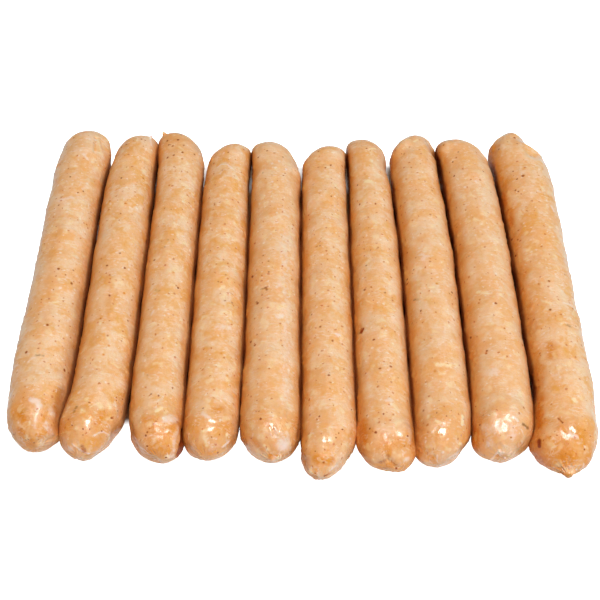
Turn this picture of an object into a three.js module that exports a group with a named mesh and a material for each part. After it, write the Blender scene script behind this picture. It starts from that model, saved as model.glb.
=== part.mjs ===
// A row of ten sausage links, laid side by side as a string lies when it is folded back and forth.
// Millimetres: +X runs across the row, +Y from the near ends to the far ones, +Z up.
import * as THREE from "three";

// Driving dimensions
const AIR = 0.4; // left between two links that press on each other
const SAG = 0.94; // height of the middle line, as a share of the radius: the belly lies flat
const TURN_LENGTH = 42; // stretch at each end over which a link bends towards its neighbour
const HOLLOW_START = 9; // distance from the tip at which two touching links part again
const HOLLOW_END = 66; // distance at which they touch again
const STUB_RADIUS = 1.15; // twisted casing left at a tied end
const TIP_RADIUS = 2.9; // the first ring of the meat round a tip
const LUMP = 0.28; // how far the filling stands up or sinks under the casing
const PRESS_SOFTNESS = 0.45; // how gently a side flattens against its neighbour
const ROW_NEAR = 100; // how far the near ends reach from the row's middle, on the whole
const ROW_FAR = 103; // and the far ends

// Mesh fineness
const COLUMNS = 20; // round the girth, with one flat strip on the belly
const CAP_RINGS = 8; // over each rounded end
const BODY_RINGS = 16; // along the straight stretch

// One link in each lane, from left to right. Pairs are tied together alternately at the far and the
// near end, so each end turns to the neighbour that it was tied to. A list of two is [near, far].
//   lane    width of its place in the row
//   girth   diameter near, in the middle and far
//   reach   how far each end reaches from the row's middle
//   turn    sideways shift of each tip, towards +X
//   point   length of each rounded end, as a share of the radius
//   taper   1 for a round end, more for one that draws in like a cone
//   rise    height of each tip over the middle line
//   stub    length of the twisted casing that is left at each end
//   wall    sideways shift of the contact with the next link, towards +X
//   hollow  half the gap that opens to the next link behind their tips
const LINKS = [
  {
    lane: 26.4, girth: [26.2, 25.6, 25.4], reach: [93, 107.5], turn: [3.0, 3.4], point: [1.15, 0.95],
    taper: [1, 0.95], rise: [-1, 0], stub: [0, 0], wall: [0.6, 0], hollow: [0, 0],
  },
  {
    lane: 26.0, girth: [25.2, 25.6, 24.8], reach: [97.5, 105], turn: [-2.5, 5.3], point: [1.25, 1.1],
    taper: [1, 1], rise: [-1, 0], stub: [0, 2.2], wall: [0, 0], hollow: [0, 0.7],
  },
  {
    lane: 24.9, girth: [24.4, 24.7, 24.4], reach: [99.5, 107], turn: [3.2, -5.0], point: [1.1, 1.05],
    taper: [1, 1], rise: [0, 0], stub: [0, 2.4], wall: [0, 0], hollow: [0, 0],
  },
  {
    lane: 24.6, girth: [24.0, 24.5, 23.4], reach: [98, 99], turn: [-2.0, 4.5], point: [1.1, 1.15],
    taper: [1, 1], rise: [0, 0], stub: [0, 0], wall: [0, 0], hollow: [0, 1.0],
  },
  {
    lane: 25.7, girth: [25.4, 25.6, 25.4], reach: [99.3, 99.5], turn: [0.8, -5.3], point: [1.15, 1.15],
    taper: [1, 1], rise: [0, 0], stub: [1.2, 0], wall: [0, 0], hollow: [0, 0],
  },
  {
    lane: 23.8, girth: [24.2, 23.9, 22.8], reach: [107.5, 97.5], turn: [-3.5, 4.0], point: [1.7, 1.05],
    taper: [1.1, 1], rise: [-2, 0], stub: [0, 0], wall: [0, 0], hollow: [0, 1.0],
  },
  {
    lane: 24.1, girth: [24.0, 24.1, 23.2], reach: [103, 103.5], turn: [2.0, -6.0], point: [1.2, 1.35],
    taper: [1, 1], rise: [0, 0], stub: [0, 0], wall: [0, 0], hollow: [0, 0],
  },
  {
    lane: 25.8, girth: [25.2, 25.4, 24.4], reach: [101.5, 105], turn: [-2.5, 2.5], point: [1.1, 1.2],
    taper: [1, 1], rise: [0, 0], stub: [0, 0], wall: [0, 0], hollow: [0, 1.0],
  },
  {
    lane: 27.2, girth: [26.8, 26.6, 26.2], reach: [99, 100.5], turn: [-1.5, -6.3], point: [1.15, 1.1],
    taper: [1, 1], rise: [0, 0], stub: [0, 0], wall: [-4.2, 0], hollow: [0, 0],
  },
  {
    lane: 26.8, girth: [26.4, 26.2, 26.6], reach: [104.5, 109], turn: [-4.8, -6.5], point: [1.35, 1.9],
    taper: [1, 1.1], rise: [-1.5, 0], stub: [2.8, 0], wall: [0, 0], hollow: [0, 0],
  },
];

const NEAR = 0;
const MIDDLE = 1;
const FAR = 2;

// Steady pseudo-random phases, so that each link is lumpy in its own way.
function phase(link, wave) {
  const value = Math.sin(link * 12.9898 + wave * 78.233) * 43758.5453;
  return (value - Math.floor(value)) * Math.PI * 2;
}

// Low swells of the filling: a few long waves along the link that also wander round it.
function swell(link, along, around) {
  const waves = [
    [31, 1],
    [19, 2],
    [12.5, 3],
  ];
  return waves.reduce((sum, [length, turns], k) => {
    const share = LUMP / (k + 1);
    const travel = (along / length) * Math.PI * 2;
    return sum + share * Math.sin(travel + turns * around + phase(link, k));
  }, 0);
}

// Diameter at a share of the length, on the curve through the near, middle and far girths.
function girthAt(girth, share) {
  const near = 2 * (share - 0.5) * (share - 1);
  const middle = 4 * share * (1 - share);
  const far = 2 * share * (share - 0.5);
  return near * girth[NEAR] + middle * girth[MIDDLE] + far * girth[FAR];
}

// A smooth floor: value where it is well over the limit, and never under it.
function softAbove(value, limit, softness) {
  return limit + softness * Math.log1p(Math.exp((value - limit) / softness));
}

// Keeps a point of the skin inside its lane, flattened against the neighbour.
function pressIntoLane(x, low, high) {
  const fromLeft = softAbove(x, low, PRESS_SOFTNESS);
  return -softAbove(-fromLeft, -high, PRESS_SOFTNESS);
}

// Rings of one link as [distance from the near tip, radius share], the twisted stubs included.
function ringPlan(link, length, radius) {
  const cap = (reach, taper) =>
    Array.from({ length: CAP_RINGS }, (_, k) => {
      const start = Math.asin(TIP_RADIUS / radius);
      const angle = start + ((Math.PI / 2 - start) * k) / (CAP_RINGS - 1);
      return [reach * (1 - Math.cos(angle)), Math.sin(angle) ** taper];
    });
  const stub = (out) => {
    const twist = [
      [-out, (0.75 * STUB_RADIUS) / radius],
      [-out * 0.45, STUB_RADIUS / radius],
    ];
    return out > 0 ? twist : [];
  };
  const [nearReach, farReach] = link.point.map((share) => share * radius);
  const body = length - nearReach - farReach;
  const rings = [...stub(link.stub[0]), ...cap(nearReach, link.taper[0])];
  for (let k = 1; k <= BODY_RINGS; k += 1) {
    rings.push([nearReach + (body * k) / (BODY_RINGS + 1), 1]);
  }
  const farRings = [...stub(link.stub[1]), ...cap(farReach, link.taper[1])];
  rings.push(...farRings.reverse().map(([along, share]) => [length - along, share]));
  return rings;
}

// Sideways or upward shift of the middle line, which fades in towards each tip.
function bend(shifts, fromNear, fromFar) {
  const share = (distance) => Math.max(0, 1 - Math.max(0, distance) / TURN_LENGTH) ** 2;
  return shifts[0] * share(fromNear) + shifts[1] * share(fromFar);
}

// Half the gap beside a contact, which opens behind the tips and closes again further in.
function gape(depths, fromNear, fromFar) {
  const share = (distance) => {
    const inside = (distance - HOLLOW_START) / (HOLLOW_END - HOLLOW_START);
    return inside > 0 && inside < 1 ? Math.sin(Math.PI * inside ** 0.6) ** 2 : 0;
  };
  return depths[0] * share(fromNear) + depths[1] * share(fromFar);
}

// The closed skin of one link in its lane, between the one before it and the one after it.
function linkGeometry(index, left) {
  const link = LINKS[index];
  const before = LINKS[index - 1] ?? { wall: [0, 0], hollow: [0, 0] };
  const middle = left + link.lane / 2;
  const length = link.reach[0] + link.reach[1];
  const meanRadius = link.girth[MIDDLE] / 2;

  const place = (along, share, around) => {
    const radius = girthAt(link.girth, THREE.MathUtils.clamp(along / length, 0, 1)) / 2;
    const bulge = share * radius + share ** 2 * swell(index, along, around);
    const y = along - link.reach[0];
    // the neighbours' own tips lie elsewhere, so contacts are measured from the row's mean ends
    const fromNear = y + ROW_NEAR;
    const fromFar = ROW_FAR - y;
    const centreX = middle + bend(link.turn, along, length - along);
    const centreZ = SAG * meanRadius + bend(link.rise, along, length - along);
    const lowWall = left + bend(before.wall, fromNear, fromFar);
    const highWall = left + link.lane + bend(link.wall, fromNear, fromFar);
    const low = lowWall + AIR / 2 + gape(before.hollow, fromNear, fromFar);
    const high = highWall - AIR / 2 - gape(link.hollow, fromNear, fromFar);
    const x = centreX + bulge * Math.sin(around);
    const z = centreZ - bulge * Math.cos(around);
    return [pressIntoLane(x, low, high), y, Math.max(0, z)];
  };

  const rings = ringPlan(link, length, meanRadius);
  const positions = [];
  rings.forEach(([along, share]) => {
    for (let c = 0; c < COLUMNS; c += 1) {
      positions.push(...place(along, share, ((c + 0.5) / COLUMNS) * Math.PI * 2));
    }
  });
  positions.push(...place(-link.stub[0], 0, 0), ...place(length + link.stub[1], 0, 0));

  const faces = [];
  const vertex = (ring, column) => ring * COLUMNS + (column % COLUMNS);
  const nearPole = rings.length * COLUMNS;
  const farPole = nearPole + 1;
  const last = rings.length - 1;
  for (let c = 0; c < COLUMNS; c += 1) {
    for (let ring = 0; ring < last; ring += 1) {
      const a = vertex(ring, c);
      const b = vertex(ring, c + 1);
      const d = vertex(ring + 1, c);
      const e = vertex(ring + 1, c + 1);
      faces.push(a, e, b, a, d, e);
    }
    faces.push(nearPole, vertex(0, c), vertex(0, c + 1));
    faces.push(farPole, vertex(last, c + 1), vertex(last, c));
  }
  const geometry = new THREE.BufferGeometry();
  geometry.setAttribute("position", new THREE.Float32BufferAttribute(positions, 3));
  geometry.setIndex(faces);
  return geometry;
}

// Moist natural casing over pale raw meat.
function casing() {
  return new THREE.MeshStandardMaterial({ color: 0xe3aa78, roughness: 0.42, metalness: 0 });
}

// Lays the links from left to right, then puts the row's middle over the origin.
function layRow() {
  const row = new THREE.Group();
  const width = LINKS.reduce((sum, link) => sum + link.lane, 0);
  let left = -width / 2;
  LINKS.forEach((link, index) => {
    const mesh = new THREE.Mesh(linkGeometry(index, left), casing());
    mesh.name = `link_${String(index + 1).padStart(2, "0")}`;
    row.add(mesh);
    left += link.lane;
  });
  const box = new THREE.Box3().setFromObject(row);
  const centre = box.getCenter(new THREE.Vector3());
  row.position.set(-centre.x, -centre.y, -box.min.z);
  return row;
}

export default layRow();
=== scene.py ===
"""Looks for a row of raw sausage links: a thin moist casing over pale, mottled meat.

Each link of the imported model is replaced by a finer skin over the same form. The skin gets its lumps,
creases and puckers as geometry, and its colour, flecks and wetness from nodes and painted attributes.
"""

import logging
import math
from dataclasses import dataclass
from dataclasses import field
from enum import Enum

import bmesh
import bpy
import numpy as np
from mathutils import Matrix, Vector
from mathutils import noise
from mathutils.bvhtree import BVHTree


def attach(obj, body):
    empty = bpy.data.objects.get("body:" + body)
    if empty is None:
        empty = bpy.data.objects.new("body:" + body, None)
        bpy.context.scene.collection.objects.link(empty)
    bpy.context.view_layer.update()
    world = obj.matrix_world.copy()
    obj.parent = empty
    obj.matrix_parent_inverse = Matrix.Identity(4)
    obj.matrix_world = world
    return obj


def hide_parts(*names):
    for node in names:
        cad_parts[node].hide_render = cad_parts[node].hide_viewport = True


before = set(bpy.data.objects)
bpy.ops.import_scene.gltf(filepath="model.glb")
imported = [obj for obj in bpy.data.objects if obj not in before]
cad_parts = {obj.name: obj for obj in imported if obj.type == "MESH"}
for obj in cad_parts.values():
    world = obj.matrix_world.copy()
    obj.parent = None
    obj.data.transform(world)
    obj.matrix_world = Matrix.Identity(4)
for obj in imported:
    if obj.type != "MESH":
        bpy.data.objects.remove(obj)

log = logging.getLogger("sausages")

MM = 0.001
FLOAT = "NodeSocketFloat"
VECTOR = "NodeSocketVector"
WHITE = (1.0, 1.0, 1.0)

Pixel = tuple[float, float]
Span = tuple[float, float]
Triple = tuple[float, float, float]
Colour = tuple[float, float, float]
Socket = bpy.types.NodeSocket


def linear(code: str) -> Colour:
    """Turns a colour as seen on screen into the linear light that shaders use.

    Args:
        code: Six hexadecimal digits, red first.

    Returns:
        Red, green and blue as linear values.
    """
    parts = [int(code[k : k + 2], 16) / 255 for k in (0, 2, 4)]
    return tuple(p / 12.92 if p <= 0.04045 else ((p + 0.055) / 1.055) ** 2.4 for p in parts)


def smooth_step(values: np.ndarray, low: float, high: float) -> np.ndarray:
    """Eases values from 0 at low to 1 at high.

    Args:
        values: The values to ease.
        low: Where the result leaves 0.
        high: Where the result reaches 1. It may be under low, which turns the ramp round.

    Returns:
        The eased values, all from 0 to 1.
    """
    share = np.clip((values - low) / (high - low), 0.0, 1.0)
    return share * share * (3.0 - 2.0 * share)


@dataclass(frozen=True)
class Waves:
    """Smooth random waves of one size, with a choice of their own for each link."""

    period: Triple
    height: float
    choice: float
    shift: Triple = (17.3, 5.1, 9.7)
    gain: float = 1.6

    def over(self, points: np.ndarray, seed: float) -> np.ndarray:
        """Works out the waves at each point.

        Args:
            points: Places, in metres, one row each.
            seed: The link's own number.

        Returns:
            One value for each point, from about -1 to 1 times the height.
        """
        moved = (seed + self.choice) * np.array(self.shift)
        scaled = points / (np.array(self.period) * MM) + moved
        return self.height * np.array([noise.noise(Vector(p)) for p in scaled]) * self.gain


@dataclass(frozen=True)
class PhotoCamera:
    """The photograph's viewpoint, which looks down the links from their near ends."""

    elevation_deg: float = 47.0
    distance: float = 580 * MM
    focal_px: float = 1240.0
    picture_px: float = 600.0
    sensor_mm: float = 36.0
    nearest: float = 10 * MM
    target: Triple = (-0.5 * MM, -10.4 * MM, 12.5 * MM)

    def axes(self) -> tuple[Vector, Vector, Vector]:
        """Works out how the camera is turned.

        Returns:
            Its right, up and forward directions.
        """
        tilt = math.radians(self.elevation_deg)
        up = Vector((0, math.sin(tilt), math.cos(tilt)))
        forward = Vector((0, math.cos(tilt), -math.sin(tilt)))
        return Vector((1, 0, 0)), up, forward

    def position(self) -> Vector:
        """Returns the camera's place."""
        return Vector(self.target) - self.axes()[2] * self.distance

    def ray(self, pixel: Pixel) -> Vector:
        """Finds the direction in which the camera sees a pixel.

        Args:
            pixel: Place in the photograph, from its top left corner.

        Returns:
            The direction, of length 1.
        """
        right, up, forward = self.axes()
        middle = self.picture_px / 2
        aim = forward * self.focal_px + right * (pixel[0] - middle) - up * (pixel[1] - middle)
        return aim.normalized()

    def build(self) -> bpy.types.Object:
        """Adds the camera and makes it the scene's own.

        Returns:
            The camera.
        """
        data = bpy.data.cameras.new("photo_camera")
        data.sensor_width = self.sensor_mm
        data.lens = self.focal_px / self.picture_px * self.sensor_mm
        data.clip_start = self.nearest
        camera = bpy.data.objects.new("photo_camera", data)
        camera.location = self.position()
        camera.rotation_euler = (math.radians(90 - self.elevation_deg), 0, 0)
        bpy.context.scene.collection.objects.link(camera)
        bpy.context.scene.camera = camera
        return camera


@dataclass(frozen=True)
class Studio:
    """White surroundings, one large soft light overhead and a bright white floor.

    Places on the floor are measured from the row's middle. Beyond the row the floor is lifted to
    plain white, and under it the floor is painted brown as shade, which shows dark between two links.
    """

    key_power: float = 42.4
    key_size: float = 0.8
    key_place: Triple = (0.28, -0.6, 1.9)
    key_aim: Triple = (0.0, -0.03, 0.0)
    sky_strength: float = 0.06
    floor_size: float = 6.0
    floor_drop: float = 0.05 * MM
    floor_grey: Colour = (0.9, 0.9, 0.9)
    floor_roughness: float = 0.8
    floor_lift: float = 1.3
    row_side: float = 114 * MM
    row_near: float = -70 * MM
    row_far: float = 97 * MM
    row_fade: float = 6 * MM
    # Painted shade: where the floor under the row goes brown, and its colour.
    shade_near: float = -77 * MM
    shade_far: float = 84 * MM
    shade_fade: float = 8 * MM
    shade_side: float = 104 * MM
    shade: Colour = (0.3, 0.13, 0.05)

    def build(self) -> None:
        """Adds the light, the surroundings and the floor, and sets how light becomes picture."""
        self.add_key()
        self.add_sky()
        self.add_floor()
        bpy.context.scene.view_settings.view_transform = "Standard"

    def add_key(self) -> None:
        """Adds the overhead softbox, turned to the row."""
        data = bpy.data.lights.new("softbox", "AREA")
        data.shape = "DISK"
        data.size = self.key_size
        data.energy = self.key_power
        light = bpy.data.objects.new("softbox", data)
        light.location = self.key_place
        aim = Vector(self.key_aim) - Vector(self.key_place)
        light.rotation_euler = aim.to_track_quat("-Z", "Y").to_euler()
        bpy.context.scene.collection.objects.link(light)

    def add_sky(self) -> None:
        """Fills the surroundings with even white light."""
        world = bpy.data.worlds.new("studio_walls")
        world.use_nodes = True
        sky = world.node_tree.nodes["Background"]
        sky.inputs["Color"].default_value = (*WHITE, 1)
        sky.inputs["Strength"].default_value = self.sky_strength
        bpy.context.scene.world = world

    def add_floor(self) -> None:
        shape = bmesh.new()
        bmesh.ops.create_grid(shape, x_segments=1, y_segments=1, size=self.floor_size / 2)
        bmesh.ops.translate(shape, verts=shape.verts, vec=(0, 0, -self.floor_drop))
        mesh = bpy.data.meshes.new("floor")
        shape.to_mesh(mesh)
        shape.free()
        mesh.materials.append(self.floor_finish())
        floor = bpy.data.objects.new("floor", mesh)
        bpy.context.scene.collection.objects.link(floor)

    def floor_finish(self) -> bpy.types.Material:
        """Makes a white floor, all but burnt out round the row, and painted brown as shade under it.

        Returns:
            The material.
        """
        material = bpy.data.materials.new("white_floor")
        material.use_nodes = True
        tree = Tree(material.node_tree)
        paint = material.node_tree.nodes["Principled BSDF"]
        paint.inputs["Roughness"].default_value = self.floor_roughness
        paint.inputs["Emission Color"].default_value = (*WHITE, 1)
        seen = tree.add("ShaderNodeLightPath").outputs["Is Camera Ray"]
        place = tree.add("ShaderNodeSeparateXYZ", {0: tree.add("ShaderNodeTexCoord").outputs["Object"]})
        across = tree.math("ABSOLUTE", place.outputs["X"])
        along = place.outputs["Y"]
        beyond = tree.ease(across, self.row_side, self.row_side + self.row_fade)
        for edge, fade in ((self.row_near, -self.row_fade), (self.row_far, self.row_fade)):
            beyond = tree.math("MAXIMUM", beyond, tree.ease(along, edge, edge + fade))
        # Painted shade: under the row the floor colour goes brown, so that it shows dark in the gaps between
        # links.
        under = tree.ease(across, self.shade_side, self.shade_side - self.shade_fade)
        for edge, fade in ((self.shade_near, self.shade_fade), (self.shade_far, -self.shade_fade)):
            under = tree.math("MULTIPLY", under, tree.ease(along, edge, edge + fade))
        tree.feed(paint.inputs["Base Color"], tree.mix(under, self.floor_grey, self.shade))
        lift = tree.math("MULTIPLY", beyond, self.floor_lift)
        tree.feed(paint.inputs["Emission Strength"], tree.math("MULTIPLY", seen, lift))
        return material


class Tree:
    """Short ways to add nodes to one shader tree."""

    def __init__(self, tree: bpy.types.NodeTree) -> None:
        """Starts on the tree of a material or a node group."""
        self.tree = tree

    def add(
        self, kind: str, inputs: dict[str | int, object] | None = None, **settings: object
    ) -> bpy.types.Node:
        """Adds a node, sets its options and fills or links its inputs.

        Args:
            kind: Blender's name for the node type.
            inputs: A value or an output socket for each named or numbered input.
            **settings: The node's own options.

        Returns:
            The new node.
        """
        node = self.tree.nodes.new(kind)
        for name, value in settings.items():
            setattr(node, name, value)
        for key, value in (inputs or {}).items():
            self.feed(node.inputs[key], value)
        return node

    def feed(self, target: Socket, value: object) -> None:
        """Links a socket to an input, or sets the input to a value.

        Args:
            target: The input.
            value: An output socket, a number, a vector or a colour.
        """
        if isinstance(value, bpy.types.NodeSocket):
            self.tree.links.new(value, target)
        elif target.type == "RGBA" and len(value) == 3:
            target.default_value = (*value, 1.0)
        else:
            target.default_value = value

    def math(self, operation: str, *values: object) -> Socket:
        """Adds a Math node and returns its result."""
        return self.add("ShaderNodeMath", dict(enumerate(values)), operation=operation).outputs[0]

    def mix(self, share: object, first: object, second: object, blend: str = "MIX") -> Socket:
        """Mixes two colours, and returns the second where the share is 1."""
        inputs = {"Factor": share, 6: first, 7: second}
        return self.add("ShaderNodeMix", inputs, data_type="RGBA", blend_type=blend).outputs[2]

    def split(self, colour: Socket) -> bpy.types.bpy_prop_collection:
        """Takes a colour apart and returns its Red, Green and Blue sockets."""
        return self.add("ShaderNodeSeparateColor", {"Color": colour}).outputs

    def ease(self, value: object, low: float, high: float, top: float = 1.0) -> Socket:
        """Eases a value from 0 at low to top at high.

        Args:
            value: The value to ease.
            low: Where the result leaves 0.
            high: Where the result reaches top.
            top: The highest result.

        Returns:
            The eased value.
        """
        inputs = {"Value": value, "From Min": low, "From Max": high, "To Min": 0.0, "To Max": top}
        return self.add("ShaderNodeMapRange", inputs, interpolation_type="SMOOTHSTEP").outputs["Result"]

    def noise(
        self, vector: Socket, scale: float, detail: float = 1.0, flat: bool = False, **more: float
    ) -> Socket:
        """Adds a noise in millimetre space and returns its value.

        Args:
            vector: Place, in millimetres.
            scale: Waves in each millimetre.
            detail: Octaves of finer noise.
            flat: Whether the place is on the unrolled casing.
            **more: Other inputs of the node, such as Roughness or Distortion.

        Returns:
            The noise, from 0 to 1.
        """
        inputs = {"Vector": vector, "Scale": scale, "Detail": detail, **more}
        dimensions = "2D" if flat else "3D"
        return self.add("ShaderNodeTexNoise", inputs, noise_dimensions=dimensions).outputs["Fac"]

    def wander(
        self, vector: Socket, scale: float, reach: Triple, detail: float = 0.0, flat: bool = False
    ) -> Socket:
        """Shifts places to and fro by a smooth noise.

        Args:
            vector: Place, in millimetres.
            scale: Waves in each millimetre.
            reach: How far the noise moves a place along each axis, in millimetres.
            detail: Octaves of finer noise.
            flat: Whether the place is on the unrolled casing.

        Returns:
            The shifted place.
        """
        inputs = {"Vector": vector, "Scale": scale, "Detail": detail}
        dimensions = "2D" if flat else "3D"
        drift = self.add("ShaderNodeTexNoise", inputs, noise_dimensions=dimensions).outputs["Color"]
        terms = {0: drift, 1: reach, 2: vector}
        return self.add("ShaderNodeVectorMath", terms, operation="MULTIPLY_ADD").outputs[0]

    def turned(self, vector: Socket, angle_deg: float, scale: Triple) -> Socket:
        """Turns and stretches flat places, so that a pattern on them lies aslant and drawn out."""
        inputs = {"Vector": vector, "Rotation": (0, 0, math.radians(angle_deg)), "Scale": scale}
        return self.add("ShaderNodeMapping", inputs).outputs[0]


def new_group(
    name: str, inputs: dict[str, str], outputs: dict[str, str]
) -> tuple[Tree, bpy.types.Node, bpy.types.Node]:
    """Starts a shader node group.

    Args:
        name: The group's name.
        inputs: Socket type of each input, by name.
        outputs: Socket type of each output, by name.

    Returns:
        The group's tree, its input node and its output node.
    """
    group = bpy.data.node_groups.new(name, "ShaderNodeTree")
    for socket, kind in inputs.items():
        group.interface.new_socket(socket, in_out="INPUT", socket_type=kind)
    for socket, kind in outputs.items():
        group.interface.new_socket(socket, in_out="OUTPUT", socket_type=kind)
    tree = Tree(group)
    return tree, tree.add("NodeGroupInput"), tree.add("NodeGroupOutput")


@dataclass(frozen=True)
class Filling:
    """The mottle of lean meat and fat that shows through a thin casing.

    A scale is the number of waves or cells in each millimetre, and a span is where the noise eases
    from nothing to full.
    """

    drift_scale: float = 0.22
    drift: Triple = (7.0, 7.0, 7.0)
    roughness: float = 0.6
    cloud_scale: float = 0.085
    cloud_span: Span = (0.36, 0.64)
    warm_scale: float = 0.13
    warm_span: Span = (0.45, 0.67)
    warm_offset: Triple = (50.0, 90.0, 20.0)
    fat_scale: float = 0.24
    fat_core: Span = (0.6, 0.15)
    fat_chance: Span = (0.5, 0.9)
    grain_scale: float = 0.6
    grain_span: Span = (0.28, 0.72)
    grain_roughness: float = 0.7

    def build(self) -> bpy.types.NodeTree:
        """Builds the group.

        Returns:
            The group, which puts out pale clouds, warm patches, bits of fat and a fine grain.
        """
        outputs = {"Cloud": FLOAT, "Warm": FLOAT, "Fat": FLOAT, "Grain": FLOAT}
        tree, source, result = new_group("filling", {"Place": VECTOR}, outputs)
        place = source.outputs["Place"]
        moved = tree.wander(place, self.drift_scale, self.drift, detail=1.0)
        cloud = tree.noise(moved, self.cloud_scale, detail=2.0, Roughness=self.roughness)
        tree.feed(result.inputs["Cloud"], tree.ease(cloud, *self.cloud_span))
        shift = {0: moved, 1: self.warm_offset}
        aside = tree.add("ShaderNodeVectorMath", shift, operation="ADD").outputs[0]
        warm = tree.noise(aside, self.warm_scale, detail=2.0, Roughness=self.roughness)
        tree.feed(result.inputs["Warm"], tree.ease(warm, *self.warm_span))
        cells = tree.add("ShaderNodeTexVoronoi", {"Vector": moved, "Scale": self.fat_scale}).outputs
        chance = tree.ease(tree.split(cells["Color"])["Red"], *self.fat_chance)
        core = tree.ease(cells["Distance"], *self.fat_core)
        tree.feed(result.inputs["Fat"], tree.math("MULTIPLY", core, chance))
        grain = tree.noise(place, self.grain_scale, detail=2.0, Roughness=self.grain_roughness)
        tree.feed(result.inputs["Grain"], tree.ease(grain, *self.grain_span))
        return tree.tree


@dataclass(frozen=True)
class Flecks:
    """Small scattered flecks: a few cells of a given size hold one, each of its own size."""

    least_size: float = 0.5
    edge: Span = (1.0, 0.4)

    def build(self) -> bpy.types.NodeTree:
        """Builds the group.

        Returns:
            The group, which takes the cells in each millimetre, the size of a fleck in millimetres
            and the share of the cells that hold one.
        """
        inputs = {"Wrap": VECTOR, "Cells": FLOAT, "Size": FLOAT, "Share": FLOAT}
        tree, source, result = new_group("flecks", inputs, {"Mask": FLOAT})
        given = source.outputs
        places = {"Vector": given["Wrap"], "Scale": given["Cells"]}
        cells = tree.add("ShaderNodeTexVoronoi", places, voronoi_dimensions="2D").outputs
        parts = tree.split(cells["Color"])
        held = tree.math("LESS_THAN", parts["Red"], given["Share"])
        reach = tree.math("MULTIPLY", given["Size"], tree.math("ADD", parts["Green"], self.least_size))
        reach = tree.math("MULTIPLY", reach, given["Cells"])
        inside = tree.math("DIVIDE", cells["Distance"], reach)
        tree.feed(result.inputs["Mask"], tree.math("MULTIPLY", held, tree.ease(inside, *self.edge)))
        return tree.tree


@dataclass(frozen=True)
class Strokes:
    """The short pale strokes and thin lines of a natural casing, most of them round the link.

    Each pattern is turned by an angle and drawn out by a stretch. It shows in patches only.
    """

    angle_deg: float = 14
    stretch: Triple = (0.42, 1.1, 1.0)
    distortion: float = 0.45
    span: Span = (0.53, 0.7)
    line_angle_deg: float = -32
    line_stretch: Triple = (0.1, 0.32, 1.0)
    line_distortion: float = 1.2
    line_span: Span = (0.016, 0.0)
    patch_scale: float = 0.16
    patch_span: Span = (0.42, 0.62)

    def build(self) -> bpy.types.NodeTree:
        """Builds the group.

        Returns:
            The group, which puts out the strokes and the lines apart.
        """
        tree, source, result = new_group("strokes", {"Wrap": VECTOR}, {"Strokes": FLOAT, "Lines": FLOAT})
        wrap = source.outputs["Wrap"]
        aslant = tree.turned(wrap, self.angle_deg, self.stretch)
        fibres = tree.noise(aslant, 1.0, flat=True, Distortion=self.distortion)
        here = tree.ease(tree.noise(wrap, self.patch_scale, flat=True), *self.patch_span)
        tree.feed(result.inputs["Strokes"], tree.math("MULTIPLY", tree.ease(fibres, *self.span), here))
        crossed = tree.turned(wrap, self.line_angle_deg, self.line_stretch)
        hills = tree.noise(crossed, 1.0, detail=0.0, flat=True, Distortion=self.line_distortion)
        edge = tree.math("ABSOLUTE", tree.math("SUBTRACT", hills, 0.5))
        tree.feed(result.inputs["Lines"], tree.math("MULTIPLY", tree.ease(edge, *self.line_span), here))
        return tree.tree


@dataclass(frozen=True)
class SkinBumps:
    """The fine unevenness that breaks up the shine, with heights in millimetres."""

    coarse_scale: float = 0.5
    coarse_height: float = 0.2
    wet_loss: float = 0.04
    fine_scale: float = 1.6
    fine_height: float = 0.15
    roughness: float = 0.6

    def build(self) -> bpy.types.NodeTree:
        """Builds the group.

        Returns:
            The group, which puts out the height. Its coarse part is less where the casing is wet.
        """
        tree, source, result = new_group("skin_relief", {"Wrap": VECTOR, "Wet": FLOAT}, {"Height": FLOAT})
        wrap = source.outputs["Wrap"]
        coarse = tree.noise(wrap, self.coarse_scale, flat=True)
        fine = tree.noise(wrap, self.fine_scale, flat=True, Roughness=self.roughness)
        depth = tree.math("MULTIPLY_ADD", source.outputs["Wet"], -self.wet_loss, self.coarse_height)
        fine_part = tree.math("MULTIPLY", fine, self.fine_height)
        tree.feed(result.inputs["Height"], tree.math("MULTIPLY_ADD", coarse, depth, fine_part))
        return tree.tree


@dataclass
class Patterns:
    """The shader node groups that every casing shares, each built once."""

    filling: bpy.types.NodeTree = field(default_factory=lambda: Filling().build())
    flecks: bpy.types.NodeTree = field(default_factory=lambda: Flecks().build())
    strokes: bpy.types.NodeTree = field(default_factory=lambda: Strokes().build())
    bumps: bpy.types.NodeTree = field(default_factory=lambda: SkinBumps().build())


@dataclass(frozen=True)
class Specks:
    """One kind of fine speck that is scattered over the casing.

    Cells is their number in each millimetre, share is how many of the cells hold a speck, and size
    is a speck's radius in millimetres.
    """

    shade: str
    cells: float
    size: float
    share: float
    strength: float


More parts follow.
